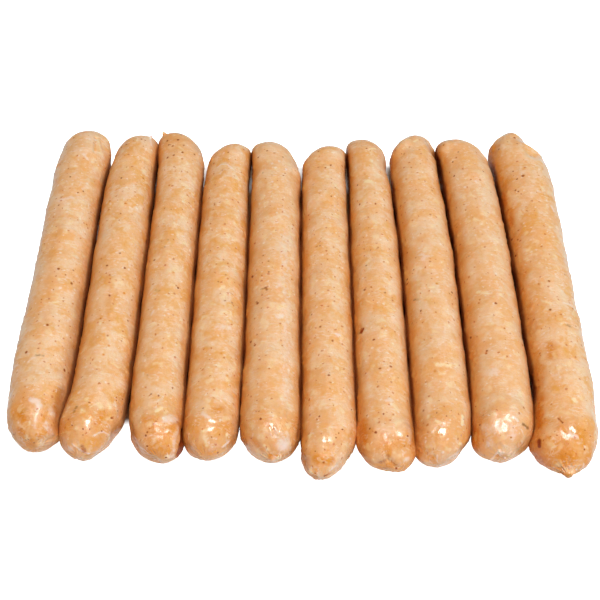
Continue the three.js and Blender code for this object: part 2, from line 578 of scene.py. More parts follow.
@dataclass(frozen=True)
class CasingFinish:
    """Moist natural casing over pale raw meat. Colours are as seen on screen.

    A share is how much of a colour shows where its pattern is full, and a span is where the pattern
    eases from nothing to full.
    """

    lean: str = "F1B87C"
    pale: str = "F4CCA0"
    warm: str = "EDA950"
    orange: str = "E28E1A"
    fat: str = "FBE0AE"
    membrane: str = "F6DAC4"
    thread: str = "FBE6D0"
    pepper: str = "8E3600"
    paprika: str = "C85C08"
    herb: str = "7E4E14"
    brown: str = "96440C"
    halo: str = "CC721C"
    # Painted shade: a warm tint multiplied in on the left half and beside neighbours.
    painted_shade_colour: str = "E7BF81"
    # Painted shade: the dark colour mixed into the clefts between links.
    cleft_shade: str = "7A3410"
    # Painted sheen: a pale rim mixed in at grazing angles.
    rim_sheen: str = "FAE2D2"
    # The tint multiplied in where no shade is painted.
    lit: Colour = (1.0, 1.04, 1.12)
    warm_share: float = 0.52
    fat_share: float = 0.5
    light_grain: float = 0.18
    dark_grain: float = 0.2
    stroke_share: float = 0.34
    line_share: float = 0.5
    mark_break: float = 0.35
    mark_span: Span = (0.12, 0.82)
    mark_power: float = 0.4
    halo_span: Span = (0.1, 0.75)
    halo_share: float = 0.8
    pepper_break: float = 0.5
    pepper_span: Span = (0.3, 0.85)
    pepper_share: float = 0.85
    rim_sheen_span: Span = (0.62, 0.94)
    rim_sheen_share: float = 0.75
    specks: tuple[Specks, ...] = (
        Specks(thread, cells=0.31, size=0.55, share=0.22, strength=0.55),
        Specks(paprika, cells=0.33, size=0.5, share=0.16, strength=0.6),
        Specks(halo, cells=0.21, size=0.5, share=0.12, strength=0.8),
    )
    speck_scale: float = 1.1
    speck_wobble: Triple = (0.8, 0.8, 0.0)
    roughness: float = 0.42
    dullness: float = 0.12
    wet_gloss: float = 0.13
    specular: float = 0.45
    refraction: float = 1.42
    coat: float = 0.7
    coat_roughness: float = 0.18
    coat_refraction: float = 1.6
    scatter: float = 0.5
    depth: float = 0.5 * MM
    bleed: Colour = (1.0, 0.6, 0.4)
    pattern_step: Triple = (61.0, 37.0, 0.0)

    def build(self, name: str, seed: float, patterns: Patterns) -> bpy.types.Material:
        """Makes the material of one link.

        Args:
            name: The material's name.
            seed: Picks this link's own patterns.
            patterns: The shared node groups.

        Returns:
            The material.
        """
        material = bpy.data.materials.new(name)
        material.use_nodes = True
        tree = Tree(material.node_tree)
        apart = tuple(seed * step for step in self.pattern_step)
        metres = tree.add("ShaderNodeTexCoord").outputs["Object"]
        scaling = {"Vector": metres, "Scale": (1 / MM, 1 / MM, 1 / MM), "Location": apart}
        place = tree.add("ShaderNodeMapping", scaling).outputs[0]
        unrolled = tree.add("ShaderNodeAttribute", attribute_name="wrap").outputs["Vector"]
        wrap = tree.add("ShaderNodeMapping", {"Vector": unrolled, "Location": apart}).outputs[0]
        filling = tree.add("ShaderNodeGroup", {"Place": place}, node_tree=patterns.filling).outputs
        grain = filling["Grain"]
        state = self.painted(tree, "state")

        colour = self.meat(tree, filling, wrap, patterns)
        colour = self.season(tree, colour, wrap, patterns)
        colour = self.spot(tree, colour, grain)
        # Painted shade: a warm tint on the left half and beside neighbours.
        painted_shade_tint = tree.mix(state["Green"], self.lit, linear(self.painted_shade_colour))
        colour = tree.mix(1.0, colour, painted_shade_tint, blend="MULTIPLY")
        # Painted shade: the dark cleft colour, in the clefts and under the painted shade marks.
        colour = tree.mix(state["Blue"], colour, linear(self.cleft_shade))
        # Painted sheen: a pale rim at grazing angles, only where no neighbour shuts the casing in.
        facing = tree.add("ShaderNodeLayerWeight").outputs["Facing"]
        grazing = tree.ease(facing, *self.rim_sheen_span, self.rim_sheen_share)
        free = self.painted(tree, "open")["Red"]
        colour = tree.mix(tree.math("MULTIPLY", grazing, free), colour, linear(self.rim_sheen))
        skin = material.node_tree.nodes["Principled BSDF"]
        tree.feed(skin.inputs["Base Color"], colour)

        wet = state["Red"]
        dull = tree.ease(grain, 0.0, 1.0, self.dullness)
        dry = tree.math("ADD", dull, self.roughness - self.dullness / 2)
        tree.feed(skin.inputs["Roughness"], tree.math("MULTIPLY_ADD", wet, -self.wet_gloss, dry))
        tree.feed(skin.inputs["Coat Weight"], tree.math("MULTIPLY", wet, self.coat))
        bumps = tree.add("ShaderNodeGroup", {"Wrap": wrap, "Wet": wet}, node_tree=patterns.bumps)
        relief = {"Height": bumps.outputs["Height"], "Distance": MM, "Strength": 1.0}
        tree.feed(skin.inputs["Normal"], tree.add("ShaderNodeBump", relief).outputs["Normal"])

        skin.inputs["Specular IOR Level"].default_value = self.specular
        skin.inputs["IOR"].default_value = self.refraction
        skin.inputs["Coat Roughness"].default_value = self.coat_roughness
        skin.inputs["Coat IOR"].default_value = self.coat_refraction
        skin.inputs["Subsurface Weight"].default_value = self.scatter
        skin.inputs["Subsurface Radius"].default_value = self.bleed
        skin.inputs["Subsurface Scale"].default_value = self.depth
        return material

    def painted(self, tree: Tree, name: str) -> bpy.types.bpy_prop_collection:
        """Reads a layer painted on the mesh and returns its Red, Green and Blue sockets."""
        return tree.split(tree.add("ShaderNodeAttribute", attribute_name=name).outputs["Color"])

    def ragged(self, tree: Tree, mask: Socket, grain: Socket) -> Socket:
        """Breaks up the soft edge of a painted mask with the grain of the meat.

        Args:
            tree: The material's tree.
            mask: The painted mask.
            grain: The grain of the meat, from 0 to 1.

        Returns:
            The mask with a ragged edge.
        """
        shift = tree.math("MULTIPLY", tree.math("SUBTRACT", grain, 0.5), self.mark_break)
        edge = tree.ease(tree.math("ADD", mask, shift), *self.mark_span)
        return tree.math("MULTIPLY", edge, tree.math("POWER", mask, self.mark_power))

    def meat(
        self, tree: Tree, filling: bpy.types.bpy_prop_collection, wrap: Socket, patterns: Patterns
    ) -> Socket:
        """Colours the meat and the casing over it, with the patches that are painted on the mesh.

        Args:
            tree: The material's tree.
            filling: The sockets of the filling's pattern.
            wrap: Place on the unrolled casing, in millimetres.
            patterns: The shared node groups.

        Returns:
            The colour.
        """
        tone = self.painted(tree, "tone")
        grain = filling["Grain"]
        strokes = tree.add("ShaderNodeGroup", {"Wrap": wrap}, node_tree=patterns.strokes).outputs
        layers = (
            (tree.math("MULTIPLY", filling["Warm"], self.warm_share), self.warm),
            (self.ragged(tree, tone["Red"], grain), self.orange),
            (tree.math("MULTIPLY", filling["Fat"], self.fat_share), self.fat),
            (self.ragged(tree, tone["Blue"], grain), self.fat),
            (tree.ease(grain, 0.5, 1.0, self.light_grain), self.membrane),
            (tree.ease(grain, 0.5, 0.0, self.dark_grain), self.warm),
            (tree.math("MULTIPLY", strokes["Strokes"], self.stroke_share), self.thread),
            (tree.math("MULTIPLY", strokes["Lines"], self.line_share), self.thread),
            (self.ragged(tree, tone["Green"], grain), self.membrane),
        )
        colour = tree.mix(filling["Cloud"], linear(self.lean), linear(self.pale))
        for mask, shade in layers:
            colour = tree.mix(mask, colour, linear(shade))
        return colour

    def season(self, tree: Tree, colour: Socket, wrap: Socket, patterns: Patterns) -> Socket:
        """Scatters pale, paprika and brown specks, each kind with its own size and share.

        Args:
            tree: The material's tree.
            colour: The colour so far.
            wrap: Place on the unrolled casing, in millimetres.
            patterns: The shared node groups.

        Returns:
            The colour with the specks on it.
        """
        bent = tree.wander(wrap, self.speck_scale, self.speck_wobble, flat=True)
        for kind in self.specks:
            inputs = {"Wrap": bent, "Cells": kind.cells, "Size": kind.size, "Share": kind.share}
            mask = tree.add("ShaderNodeGroup", inputs, node_tree=patterns.flecks).outputs["Mask"]
            colour = tree.mix(tree.math("MULTIPLY", mask, kind.strength), colour, linear(kind.shade))
        return colour

    def spot(self, tree: Tree, colour: Socket, grain: Socket) -> Socket:
        """Colours the spots and specks that are painted on the mesh, with a soft halo round each.

        Args:
            tree: The material's tree.
            colour: The colour so far.
            grain: The grain of the meat, from 0 to 1.

        Returns:
            The colour with the spots on it.
        """
        mark = self.painted(tree, "mark")
        either = tree.math("MAXIMUM", mark["Green"], mark["Blue"])
        uneven = tree.math("SUBTRACT", grain, 0.5)
        uneven = tree.math("MULTIPLY_ADD", uneven, self.pepper_break, mark["Blue"])
        layers = (
            (tree.ease(either, *self.halo_span, self.halo_share), self.halo),
            (self.ragged(tree, mark["Green"], grain), self.brown),
            (self.ragged(tree, mark["Red"], grain), self.herb),
            (tree.ease(uneven, *self.pepper_span, self.pepper_share), self.pepper),
        )
        for mask, shade in layers:
            colour = tree.mix(mask, colour, linear(shade))
        return colour


class Kind(Enum):
    """What a mark on the casing is, with the painted layer and channel that hold it."""

    ORANGE = ("tone", 0)
    MEMBRANE = ("tone", 1)
    FAT = ("tone", 2)
    HERB = ("mark", 0)
    # Brown spots, and along some creases painted shade.
    BROWN = ("mark", 1)
    SPECK = ("mark", 2)
    WET = ("state", 0)
    # Painted shade, mixed in as the dark cleft colour.
    PAINTED_SHADE = ("state", 2)
    FOLD = ("", 0)


@dataclass(frozen=True)
class Mark:
    """A mark along a line of pixels of the photograph, laid on the link that shows there.

    The width is in millimetres from the line to where the mark ends, and the lift is how far it
    stands out of the casing.
    """

    kind: Kind
    width: float
    at: tuple[Pixel, ...]
    strength: float = 1.0
    lift: float = 0.0


def spots(
    kind: Kind, width: float, at: tuple[Pixel, ...], strength: float = 1.0, lift: float = 0.0
) -> tuple[Mark, ...]:
    """Makes one round mark at each of several pixels.

    Args:
        kind: What they are.
        width: The radius of each, in millimetres.
        at: Their pixels in the photograph.
        strength: How strong they are.
        lift: How far they stand out, in millimetres.

    Returns:
        The marks.
    """
    return tuple(Mark(kind, width, at=(pixel,), strength=strength, lift=lift) for pixel in at)


@dataclass(frozen=True)
class Trail:
    """A line on the surface that fades to nothing at its width."""

    stops: list[np.ndarray]
    width: float
    shortest: float = 1e-12

    def strength(self, points: np.ndarray) -> np.ndarray:
        """Measures how near each point is to the line.

        Args:
            points: Places, in metres, one row each.

        Returns:
            1 on the line and 0 beyond its width, for each point.
        """
        nearest = np.linalg.norm(points - self.stops[0], axis=1)
        for start, end in zip(self.stops, self.stops[1:]):
            run = end - start
            share = np.clip((points - start) @ run / max(run @ run, self.shortest), 0, 1)
            nearest = np.minimum(nearest, np.linalg.norm(points - start - share[:, None] * run, axis=1))
        return smooth_step(nearest, self.width, 0.0)


@dataclass(frozen=True)
class Closeness:
    """How squarely and how closely a point has to face a neighbour, from not at all to fully.

    The slope is 1 where the skin faces the neighbour squarely, and the gap is in millimetres.
    """

    slope: Span
    gap: Span


@dataclass
class Beside:
    """How each point of a link's skin lies to the left and the right neighbour, one row for each."""

    slope: np.ndarray
    gap: np.ndarray

    def facing(self, close: Closeness) -> np.ndarray:
        """Returns two rows of values, 1 where a point faces that neighbour as closely as asked."""
        return smooth_step(self.slope, *close.slope) * smooth_step(self.gap, *close.gap)


@dataclass(frozen=True)
class Sway:
    """How a line between two links wanders from its place in the CAD model.

    Each stop is a place along the row, from its near ends to its far ones, and the shift there
    towards the right, both in millimetres.
    """

    stops: tuple[Span, ...] = ((0.0, 0.0),)

    def shift(self, along: np.ndarray) -> np.ndarray:
        """Works out the shift at each place along the row.

        Args:
            along: The places, in metres.

        Returns:
            The shifts, in metres.
        """
        result = np.full(len(along), float(self.stops[0][1]))
        for (start, before), (end, after) in zip(self.stops, self.stops[1:]):
            result += (after - before) * smooth_step(along / MM, start, end)
        return result * MM


@dataclass(frozen=True)
class CasingRelief:
    """The lumps, grains and pleats of a casing over coarse filling. Sizes are in millimetres.

    The slope of a flank is 1 where it faces sideways, that of the belly where it faces down.
    """

    growth: float = 0.3
    swells: Waves = Waves((9, 11, 9), height=0.22, choice=0)
    bumps: Waves = Waves((3.6, 4.2, 3.6), height=0.088, choice=1)
    wrinkles: Waves = Waves((6, 1.7, 6), height=0.05, choice=2)
    belly: Span = (0.5, 0.9)
    grains: Waves = Waves((1.9, 2.3, 1.9), height=1.0, choice=6)
    grain_span: Span = (0.45, 0.9)
    grain_height: float = 0.22
    flank: Span = (0.55, 0.85)
    end_lumps: Waves = Waves((4.6, 4.6, 4.6), height=0.16, choice=3)
    end_bumps: Waves = Waves((2.2, 2.2, 2.2), height=0.07, choice=4)
    end_full: float = 8.0
    touching: Closeness = Closeness(slope=(0.9, 1.0), gap=(1.6, 1.0))
    widest_gap: float = 3.0
    overlap: float = 0.06
    pleat_reach: float = 11.0
    pleat_full: float = 3.0
    pleat_start: Span = (0.6, 2.5)
    pleat_counts: tuple[int, int] = (11, 5)
    pleat_waves: tuple[Waves, Waves] = (
        Waves((7, 7, 7), height=1.4, choice=4),
        Waves((7, 7, 7), height=1.4, choice=6),
    )

    def height(
        self, points: np.ndarray, normals: np.ndarray, seed: float, wet_length: float
    ) -> np.ndarray:
        """Works out how far the lumps and grains stand out or sink at each point.

        Args:
            points: The skin's points, in metres.
            normals: Its outward directions.
            seed: The link's own number.
            wet_length: How far from the near tip the tight, lumpy end reaches, in millimetres.

        Returns:
            The height of each point, in millimetres.
        """
        rough = 1.0 - smooth_step(-normals[:, 2], *self.belly)
        layers = (self.swells, self.bumps, self.wrinkles)
        height = rough * sum(layer.over(points, seed) for layer in layers) + self.growth
        aside = np.abs(normals[:, 0])
        flank = np.flatnonzero(aside > self.flank[0])
        grains = smooth_step(self.grains.over(points[flank], seed), *self.grain_span)
        height[flank] += self.grain_height * grains * smooth_step(aside[flank], *self.flank)
        from_near = (points[:, 1] - points[:, 1].min()) / MM
        end = from_near < wet_length
        tight = smooth_step(from_near[end], wet_length, self.end_full) * rough[end]
        lumps = self.end_lumps.over(points[end], seed) + self.end_bumps.over(points[end], seed)
        height[end] += tight * lumps
        return height

    def pucker(self, points: np.ndarray, end: int, seed: float) -> np.ndarray:
        """Draws the casing together in pleats round one tip.

        Args:
            points: The skin's points, in metres.
            end: 0 for the near tip and 1 for the far one.
            seed: The link's own number.

        Returns:
            The depth of the pleats at each point, from -1 to 1.
        """
        tip = points[(np.argmin, np.argmax)[end](points[:, 1])]
        distance = np.linalg.norm(points - tip, axis=1) / MM
        folds = np.zeros(len(points))
        close = distance < self.pleat_reach
        away = points[close] - tip
        turn = np.arctan2(away[:, 2], away[:, 0])
        wander = self.pleat_waves[end].over(points[close], seed)
        many, few = self.pleat_counts
        folds[close] = np.sin(many * turn + 3 * wander) * np.sin(few * turn - 2 * wander + seed)
        inward = smooth_step(distance, self.pleat_reach, self.pleat_full)
        return folds * smooth_step(distance, *self.pleat_start) * inward

    def press(self, height: np.ndarray, beside: Beside) -> np.ndarray:
        """Brings the skin up to the middle of the gap where it presses on a neighbour.

        Args:
            height: The height of each point, in millimetres.
            beside: How the points lie to the neighbours.

        Returns:
            The heights, with those that meet a neighbour changed.
        """
        for meets, gap in zip(beside.facing(self.touching), beside.gap):
            height = height + meets * (np.minimum(gap, self.widest_gap) / 2 + self.overlap - height)
        return height


@dataclass(frozen=True)
class CasingTones:
    """Where painted shade goes, and where a casing is golden or wet. Lengths are in millimetres from a tip.
    """

    # Painted shade: how strong the warm tint is on the left half and beside each neighbour.
    left_shade: Closeness = Closeness(slope=(0.5, 0.9), gap=(15.0, 9.0))
    right_shade: Closeness = Closeness(slope=(0.3, 1.0), gap=(8.5, 1.5))
    left_half: Span = (-0.5, 0.4)
    shade_shares: Triple = (0.33, 0.67, 0.8)
    # Painted shade: where the dark cleft colour goes.
    cleft_shade: Closeness = Closeness(slope=(0.9, 1.0), gap=(4.2, 1.8))
    cleft_shade_strength: float = 0.9
    shut_in: Closeness = Closeness(slope=(0.3, 0.6), gap=(14.0, 8.0))
    gold_patches: Waves = Waves((7, 7, 7), height=0.5, choice=9)
    gold_least: float = 0.36
    gold_more: float = 0.45
    gold_near: Span = (30.0, 7.0)
    gold_far: Span = (40.0, 10.0)
    wet_patches: Waves = Waves((5, 6, 5), height=0.5, choice=8)
    wet_least: float = 0.2
    wet_more: float = 0.9
    wet_full: float = 8.0

    def shading(self, beside: Beside) -> np.ndarray:
        """Finds the painted shade: a little on the left half, away from the light, most beside a neighbour.

        Args:
            beside: How the points lie to the neighbours.

        Returns:
            One value from 0 to 1 for each point.
        """
        half, left, right = self.shade_shares
        result = half * smooth_step(beside.slope[0], *self.left_half)
        result += left * beside.facing(self.left_shade)[0] + right * beside.facing(self.right_shade)[1]
        return np.clip(result, 0, 1)

    def gold(self, points: np.ndarray, seed: float, strengths: Span) -> np.ndarray:
        """Finds where the stretched casing of the two ends lets the golden filling through.

        Args:
            points: The skin's points, in metres.
            seed: The link's own number.
            strengths: How golden the near and the far end are.

        Returns:
            One value for each point.
        """
        patches = np.clip(0.5 + self.gold_patches.over(points, seed), 0, 1)
        from_near = (points[:, 1] - points[:, 1].min()) / MM
        from_far = (points[:, 1].max() - points[:, 1]) / MM
        near = strengths[0] * smooth_step(from_near, *self.gold_near)
        far = strengths[1] * smooth_step(from_far, *self.gold_far)
        return (self.gold_least + self.gold_more * patches) * np.maximum(near, far)

    def wetness(self, points: np.ndarray, seed: float, wet_length: float) -> np.ndarray:
        """Finds how wet the casing is: most at the near end, and in patches.

        Args:
            points: The skin's points, in metres.
            seed: The link's own number.
            wet_length: How far the wet end reaches.

        Returns:
            One value from 0 to 1 for each point.
        """
        from_near = (points[:, 1] - points[:, 1].min()) / MM
        patches = 0.5 + self.wet_patches.over(points, seed)
        amount = self.wet_least + self.wet_more * patches
        return np.clip(smooth_step(from_near, wet_length, self.wet_full) * amount, 0, 1)


@dataclass
class SausageLink:
    """One link: a fine skin over its CAD node's form.

    Marks are what the photograph shows on it. Pairs of values are for its near and far end, or for
    its left and right side.
    """

    node: str
    seed: float
    marks: tuple[Mark, ...] = ()
    neighbours: tuple[str, str] = ("", "")
    sides: tuple[Sway, Sway] = (Sway(), Sway())
    pleats: Span = (0.2, 0.2)
    gold: Span = (0.8, 0.2)
    wet_length: float = 34.0
    shine: float = 1.0
    relief: CasingRelief = CasingRelief()
    tones: CasingTones = CasingTones()
    finish: CasingFinish = CasingFinish()
    weld: float = 1e-6
    flat_angle_deg: float = 60
    square_angle_deg: float = 70
    long_edge: float = 5.5 * MM
    fineness: int = 3
    slices: int = 120
    sees_beside: float = 0.35
    no_neighbour: float = 1000.0

    def build(self, camera: PhotoCamera, patterns: Patterns) -> bpy.types.Object:
        """Makes the finished link.

        Args:
            camera: The photograph's viewpoint, which the marks are placed by.
            patterns: The shared node groups.

        Returns:
            The link's object.
        """
        mesh = self.fine_mesh()
        points, normals = self.read(mesh)
        wrap = self.unroll(points)
        beside = self.look_beside(points, normals)
        layers = self.first_layers(points, beside)
        height = self.relief.height(points, normals, self.seed, self.wet_length)
        for end, depth in enumerate(self.pleats):
            height += depth * self.relief.pucker(points, end, self.seed)
        height = self.relief.press(height, beside)
        points = self.swayed(points)
        self.write(mesh, points)
        for mark, trail in self.lay_marks(mesh, camera):
            amount = trail.strength(points)
            height += mark.lift * amount
            layer, channel = mark.kind.value
            if layer:
                column = layers[layer][:, channel]
                np.maximum(column, amount * mark.strength, out=column)
        points = points + normals * (height * MM)[:, None]
        points[:, 2] = np.maximum(points[:, 2], 0.0)
        self.write(mesh, points)
        for name, values in layers.items():
            layer = mesh.attributes.new(name, "FLOAT_COLOR", "POINT")
            layer.data.foreach_set("color", values.astype(np.float32).ravel())
        unrolled = mesh.attributes.new("wrap", "FLOAT_VECTOR", "POINT")
        unrolled.data.foreach_set("vector", wrap.astype(np.float32).ravel())
        mesh.materials.clear()
        mesh.materials.append(self.finish.build(f"casing_{self.node}", self.seed, patterns))
        mesh.shade_smooth()
        mesh.update()
        return self.place(mesh)

    def place(self, mesh: bpy.types.Mesh) -> bpy.types.Object:
        """Adds the link to the scene and gives it to its body in place of its CAD node.

        Args:
            mesh: The finished skin.

        Returns:
            The link's object.
        """
        piece = bpy.data.objects.new(f"{self.node}_skin", mesh)
        bpy.context.scene.collection.objects.link(piece)
        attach(piece, "root")
        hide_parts(self.node)
        return piece

    def fine_mesh(self) -> bpy.types.Mesh:
        """Rounds a copy of the CAD node off into a fine, closed skin.

        Returns:
            The skin's mesh.
        """
        shape = bmesh.new()
        shape.from_mesh(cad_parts[self.node].data)
        bmesh.ops.remove_doubles(shape, verts=shape.verts, dist=self.weld)
        bmesh.ops.join_triangles(
            shape,
            faces=shape.faces,
            angle_face_threshold=math.radians(self.flat_angle_deg),
            angle_shape_threshold=math.radians(self.square_angle_deg),
        )
        for vertex in shape.verts:
            vertex.normal_update()
        along = [e for e in shape.edges if abs(e.verts[0].co.y - e.verts[1].co.y) > self.long_edge]
        bmesh.ops.subdivide_edges(shape, edges=along, cuts=1, use_grid_fill=True)
        cage = bpy.data.meshes.new(f"{self.node}_cage")
        shape.to_mesh(cage)
        shape.free()
        holder = bpy.data.objects.new(f"{self.node}_cage", cage)
        bpy.context.scene.collection.objects.link(holder)
        rounding = holder.modifiers.new("rounding", "SUBSURF")
        rounding.levels = self.fineness
        rounding.render_levels = self.fineness
        seen = holder.evaluated_get(bpy.context.evaluated_depsgraph_get())
        mesh = bpy.data.meshes.new_from_object(seen)
        bpy.data.objects.remove(holder)
        bpy.data.meshes.remove(cage)
        mesh.name = f"{self.node}_skin"
        return mesh

    def read(self, mesh: bpy.types.Mesh) -> tuple[np.ndarray, np.ndarray]:
        """Reads a mesh's points and normals.

        Args:
            mesh: The mesh.

        Returns:
            The points, in metres, and the normals, one row each.
        """
        points = np.zeros(len(mesh.vertices) * 3, np.float32)
        mesh.vertices.foreach_get("co", points)
        normals = np.zeros(len(mesh.vertices) * 3, np.float32)
        mesh.vertex_normals.foreach_get("vector", normals)
        return points.reshape(-1, 3).astype(float), normals.reshape(-1, 3).astype(float)

    def write(self, mesh: bpy.types.Mesh, points: np.ndarray) -> None:
        """Moves a mesh's points to new places, in metres."""
        mesh.vertices.foreach_set("co", points.astype(np.float32).ravel())

    def first_layers(self, points: np.ndarray, beside: Beside) -> dict[str, np.ndarray]:
        """Paints what follows from the form: wetness, painted shade, painted cleft shade and golden ends.

        Args:
            points: The skin's points, in metres.
            beside: How the points lie to the neighbours.

        Returns:
            Each layer by its name, with a red, green, blue and opacity value for each point.
        """
        layers = {name: np.zeros((len(points), 4)) for name in ("tone", "mark", "state", "open")}
        for values in layers.values():
            values[:, 3] = 1.0
        tones = self.tones
        # Painted shade: the dark cleft colour and the warm tint, from how the skin faces its neighbours.
        cleft_shade = tones.cleft_shade_strength * beside.facing(tones.cleft_shade).max(axis=0)
        layers["state"][:, 0] = self.shine * tones.wetness(points, self.seed, self.wet_length)
        layers["state"][:, 1] = tones.shading(beside)
        layers["state"][:, 2] = cleft_shade
        layers["open"][:, 0] = 1.0 - beside.facing(tones.shut_in).max(axis=0)
        layers["tone"][:, 0] = tones.gold(points, self.seed, self.gold)
        return layers

    def swayed(self, points: np.ndarray) -> np.ndarray:
        """Shifts both sides of the link as its two lines wander, and what is between them in between.

        Args:
            points: The skin's points, in metres.

        Returns:
            The shifted points.
        """
        along = points[:, 1]
        low, high = points[:, 0].min(), points[:, 0].max()
        share = np.clip((points[:, 0] - low) / (high - low), 0, 1)
        left, right = self.sides
        moved = points.copy()
        moved[:, 0] += (1 - share) * left.shift(along) + share * right.shift(along)
        return moved

    def unroll(self, points: np.ndarray) -> np.ndarray:
        """Unrolls the casing: how far each point is round the link from its top, and along it.

        Args:
            points: The skin's points, in metres.

        Returns:
            One row for each point, in millimetres: round, along, and zero.
        """
        edges = np.linspace(points[:, 1].min(), points[:, 1].max(), self.slices + 1)
        which = np.clip(np.searchsorted(edges, points[:, 1]) - 1, 0, self.slices - 1)
        filled = np.bincount(which, minlength=self.slices) > 0
        middle = (edges[:-1] + edges[1:])[filled] / 2
        centres = []
        for axis in (0, 2):
            low = np.full(self.slices, np.inf)
            high = np.full(self.slices, -np.inf)
            np.minimum.at(low, which, points[:, axis])
            np.maximum.at(high, which, points[:, axis])
            centres.append(np.interp(points[:, 1], middle, (low[filled] + high[filled]) / 2))
        across = points[:, 0] - centres[0]
        up = points[:, 2] - centres[1]
        radius = np.hypot(across, up)
        girth = np.zeros(self.slices)
        np.maximum.at(girth, which, radius)
        steps = np.hypot(np.diff(middle), np.diff(girth[filled]))
        travelled = np.concatenate(([0.0], np.cumsum(steps)))
        along = np.interp(points[:, 1], middle, travelled)
        wrap = np.zeros_like(points)
        wrap[:, 0] = np.arctan2(across, up) * radius / MM
        wrap[:, 1] = along / MM
        return wrap

    def look_beside(self, points: np.ndarray, normals: np.ndarray) -> Beside:
        """Measures the gap to each neighbour's CAD form, for the points that face it.

        Args:
            points: The skin's points, in metres.
            normals: Its outward directions.

        Returns:
            The slope towards each neighbour, and the gap in millimetres.
        """
        slope = np.stack((-normals[:, 0], normals[:, 0]))
        gap = np.full_like(slope, self.no_neighbour)
        for side, name in enumerate(self.neighbours):
            if not name:
                continue
            shape = bmesh.new()
            shape.from_mesh(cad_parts[name].data)
            surface = BVHTree.FromBMesh(shape)
            shape.free()
            for k in np.flatnonzero(slope[side] > self.sees_beside):
                gap[side, k] = surface.find_nearest(Vector(points[k]))[3] / MM
        return Beside(slope, gap)

    def lay_marks(self, mesh: bpy.types.Mesh, camera: PhotoCamera) -> list[tuple[Mark, Trail]]:
        """Finds where each mark lies on the link.

        Args:
            mesh: The link's skin.
            camera: The photograph's viewpoint.

        Returns:
            Each mark that meets the link, with its line on the surface.
        """
        shape = bmesh.new()
        shape.from_mesh(mesh)
        surface = BVHTree.FromBMesh(shape)
        shape.free()
        laid = []
        for mark in self.marks:
            hits = [surface.ray_cast(camera.position(), camera.ray(pixel))[0] for pixel in mark.at]
            found = [np.array(hit) for hit in hits if hit is not None]
            if len(found) < len(hits):
                log.warning("%s: a point of a mark misses the link: %s", self.node, mark)
            if found:
                laid.append((mark, Trail(found, mark.width * MM)))
        return laid


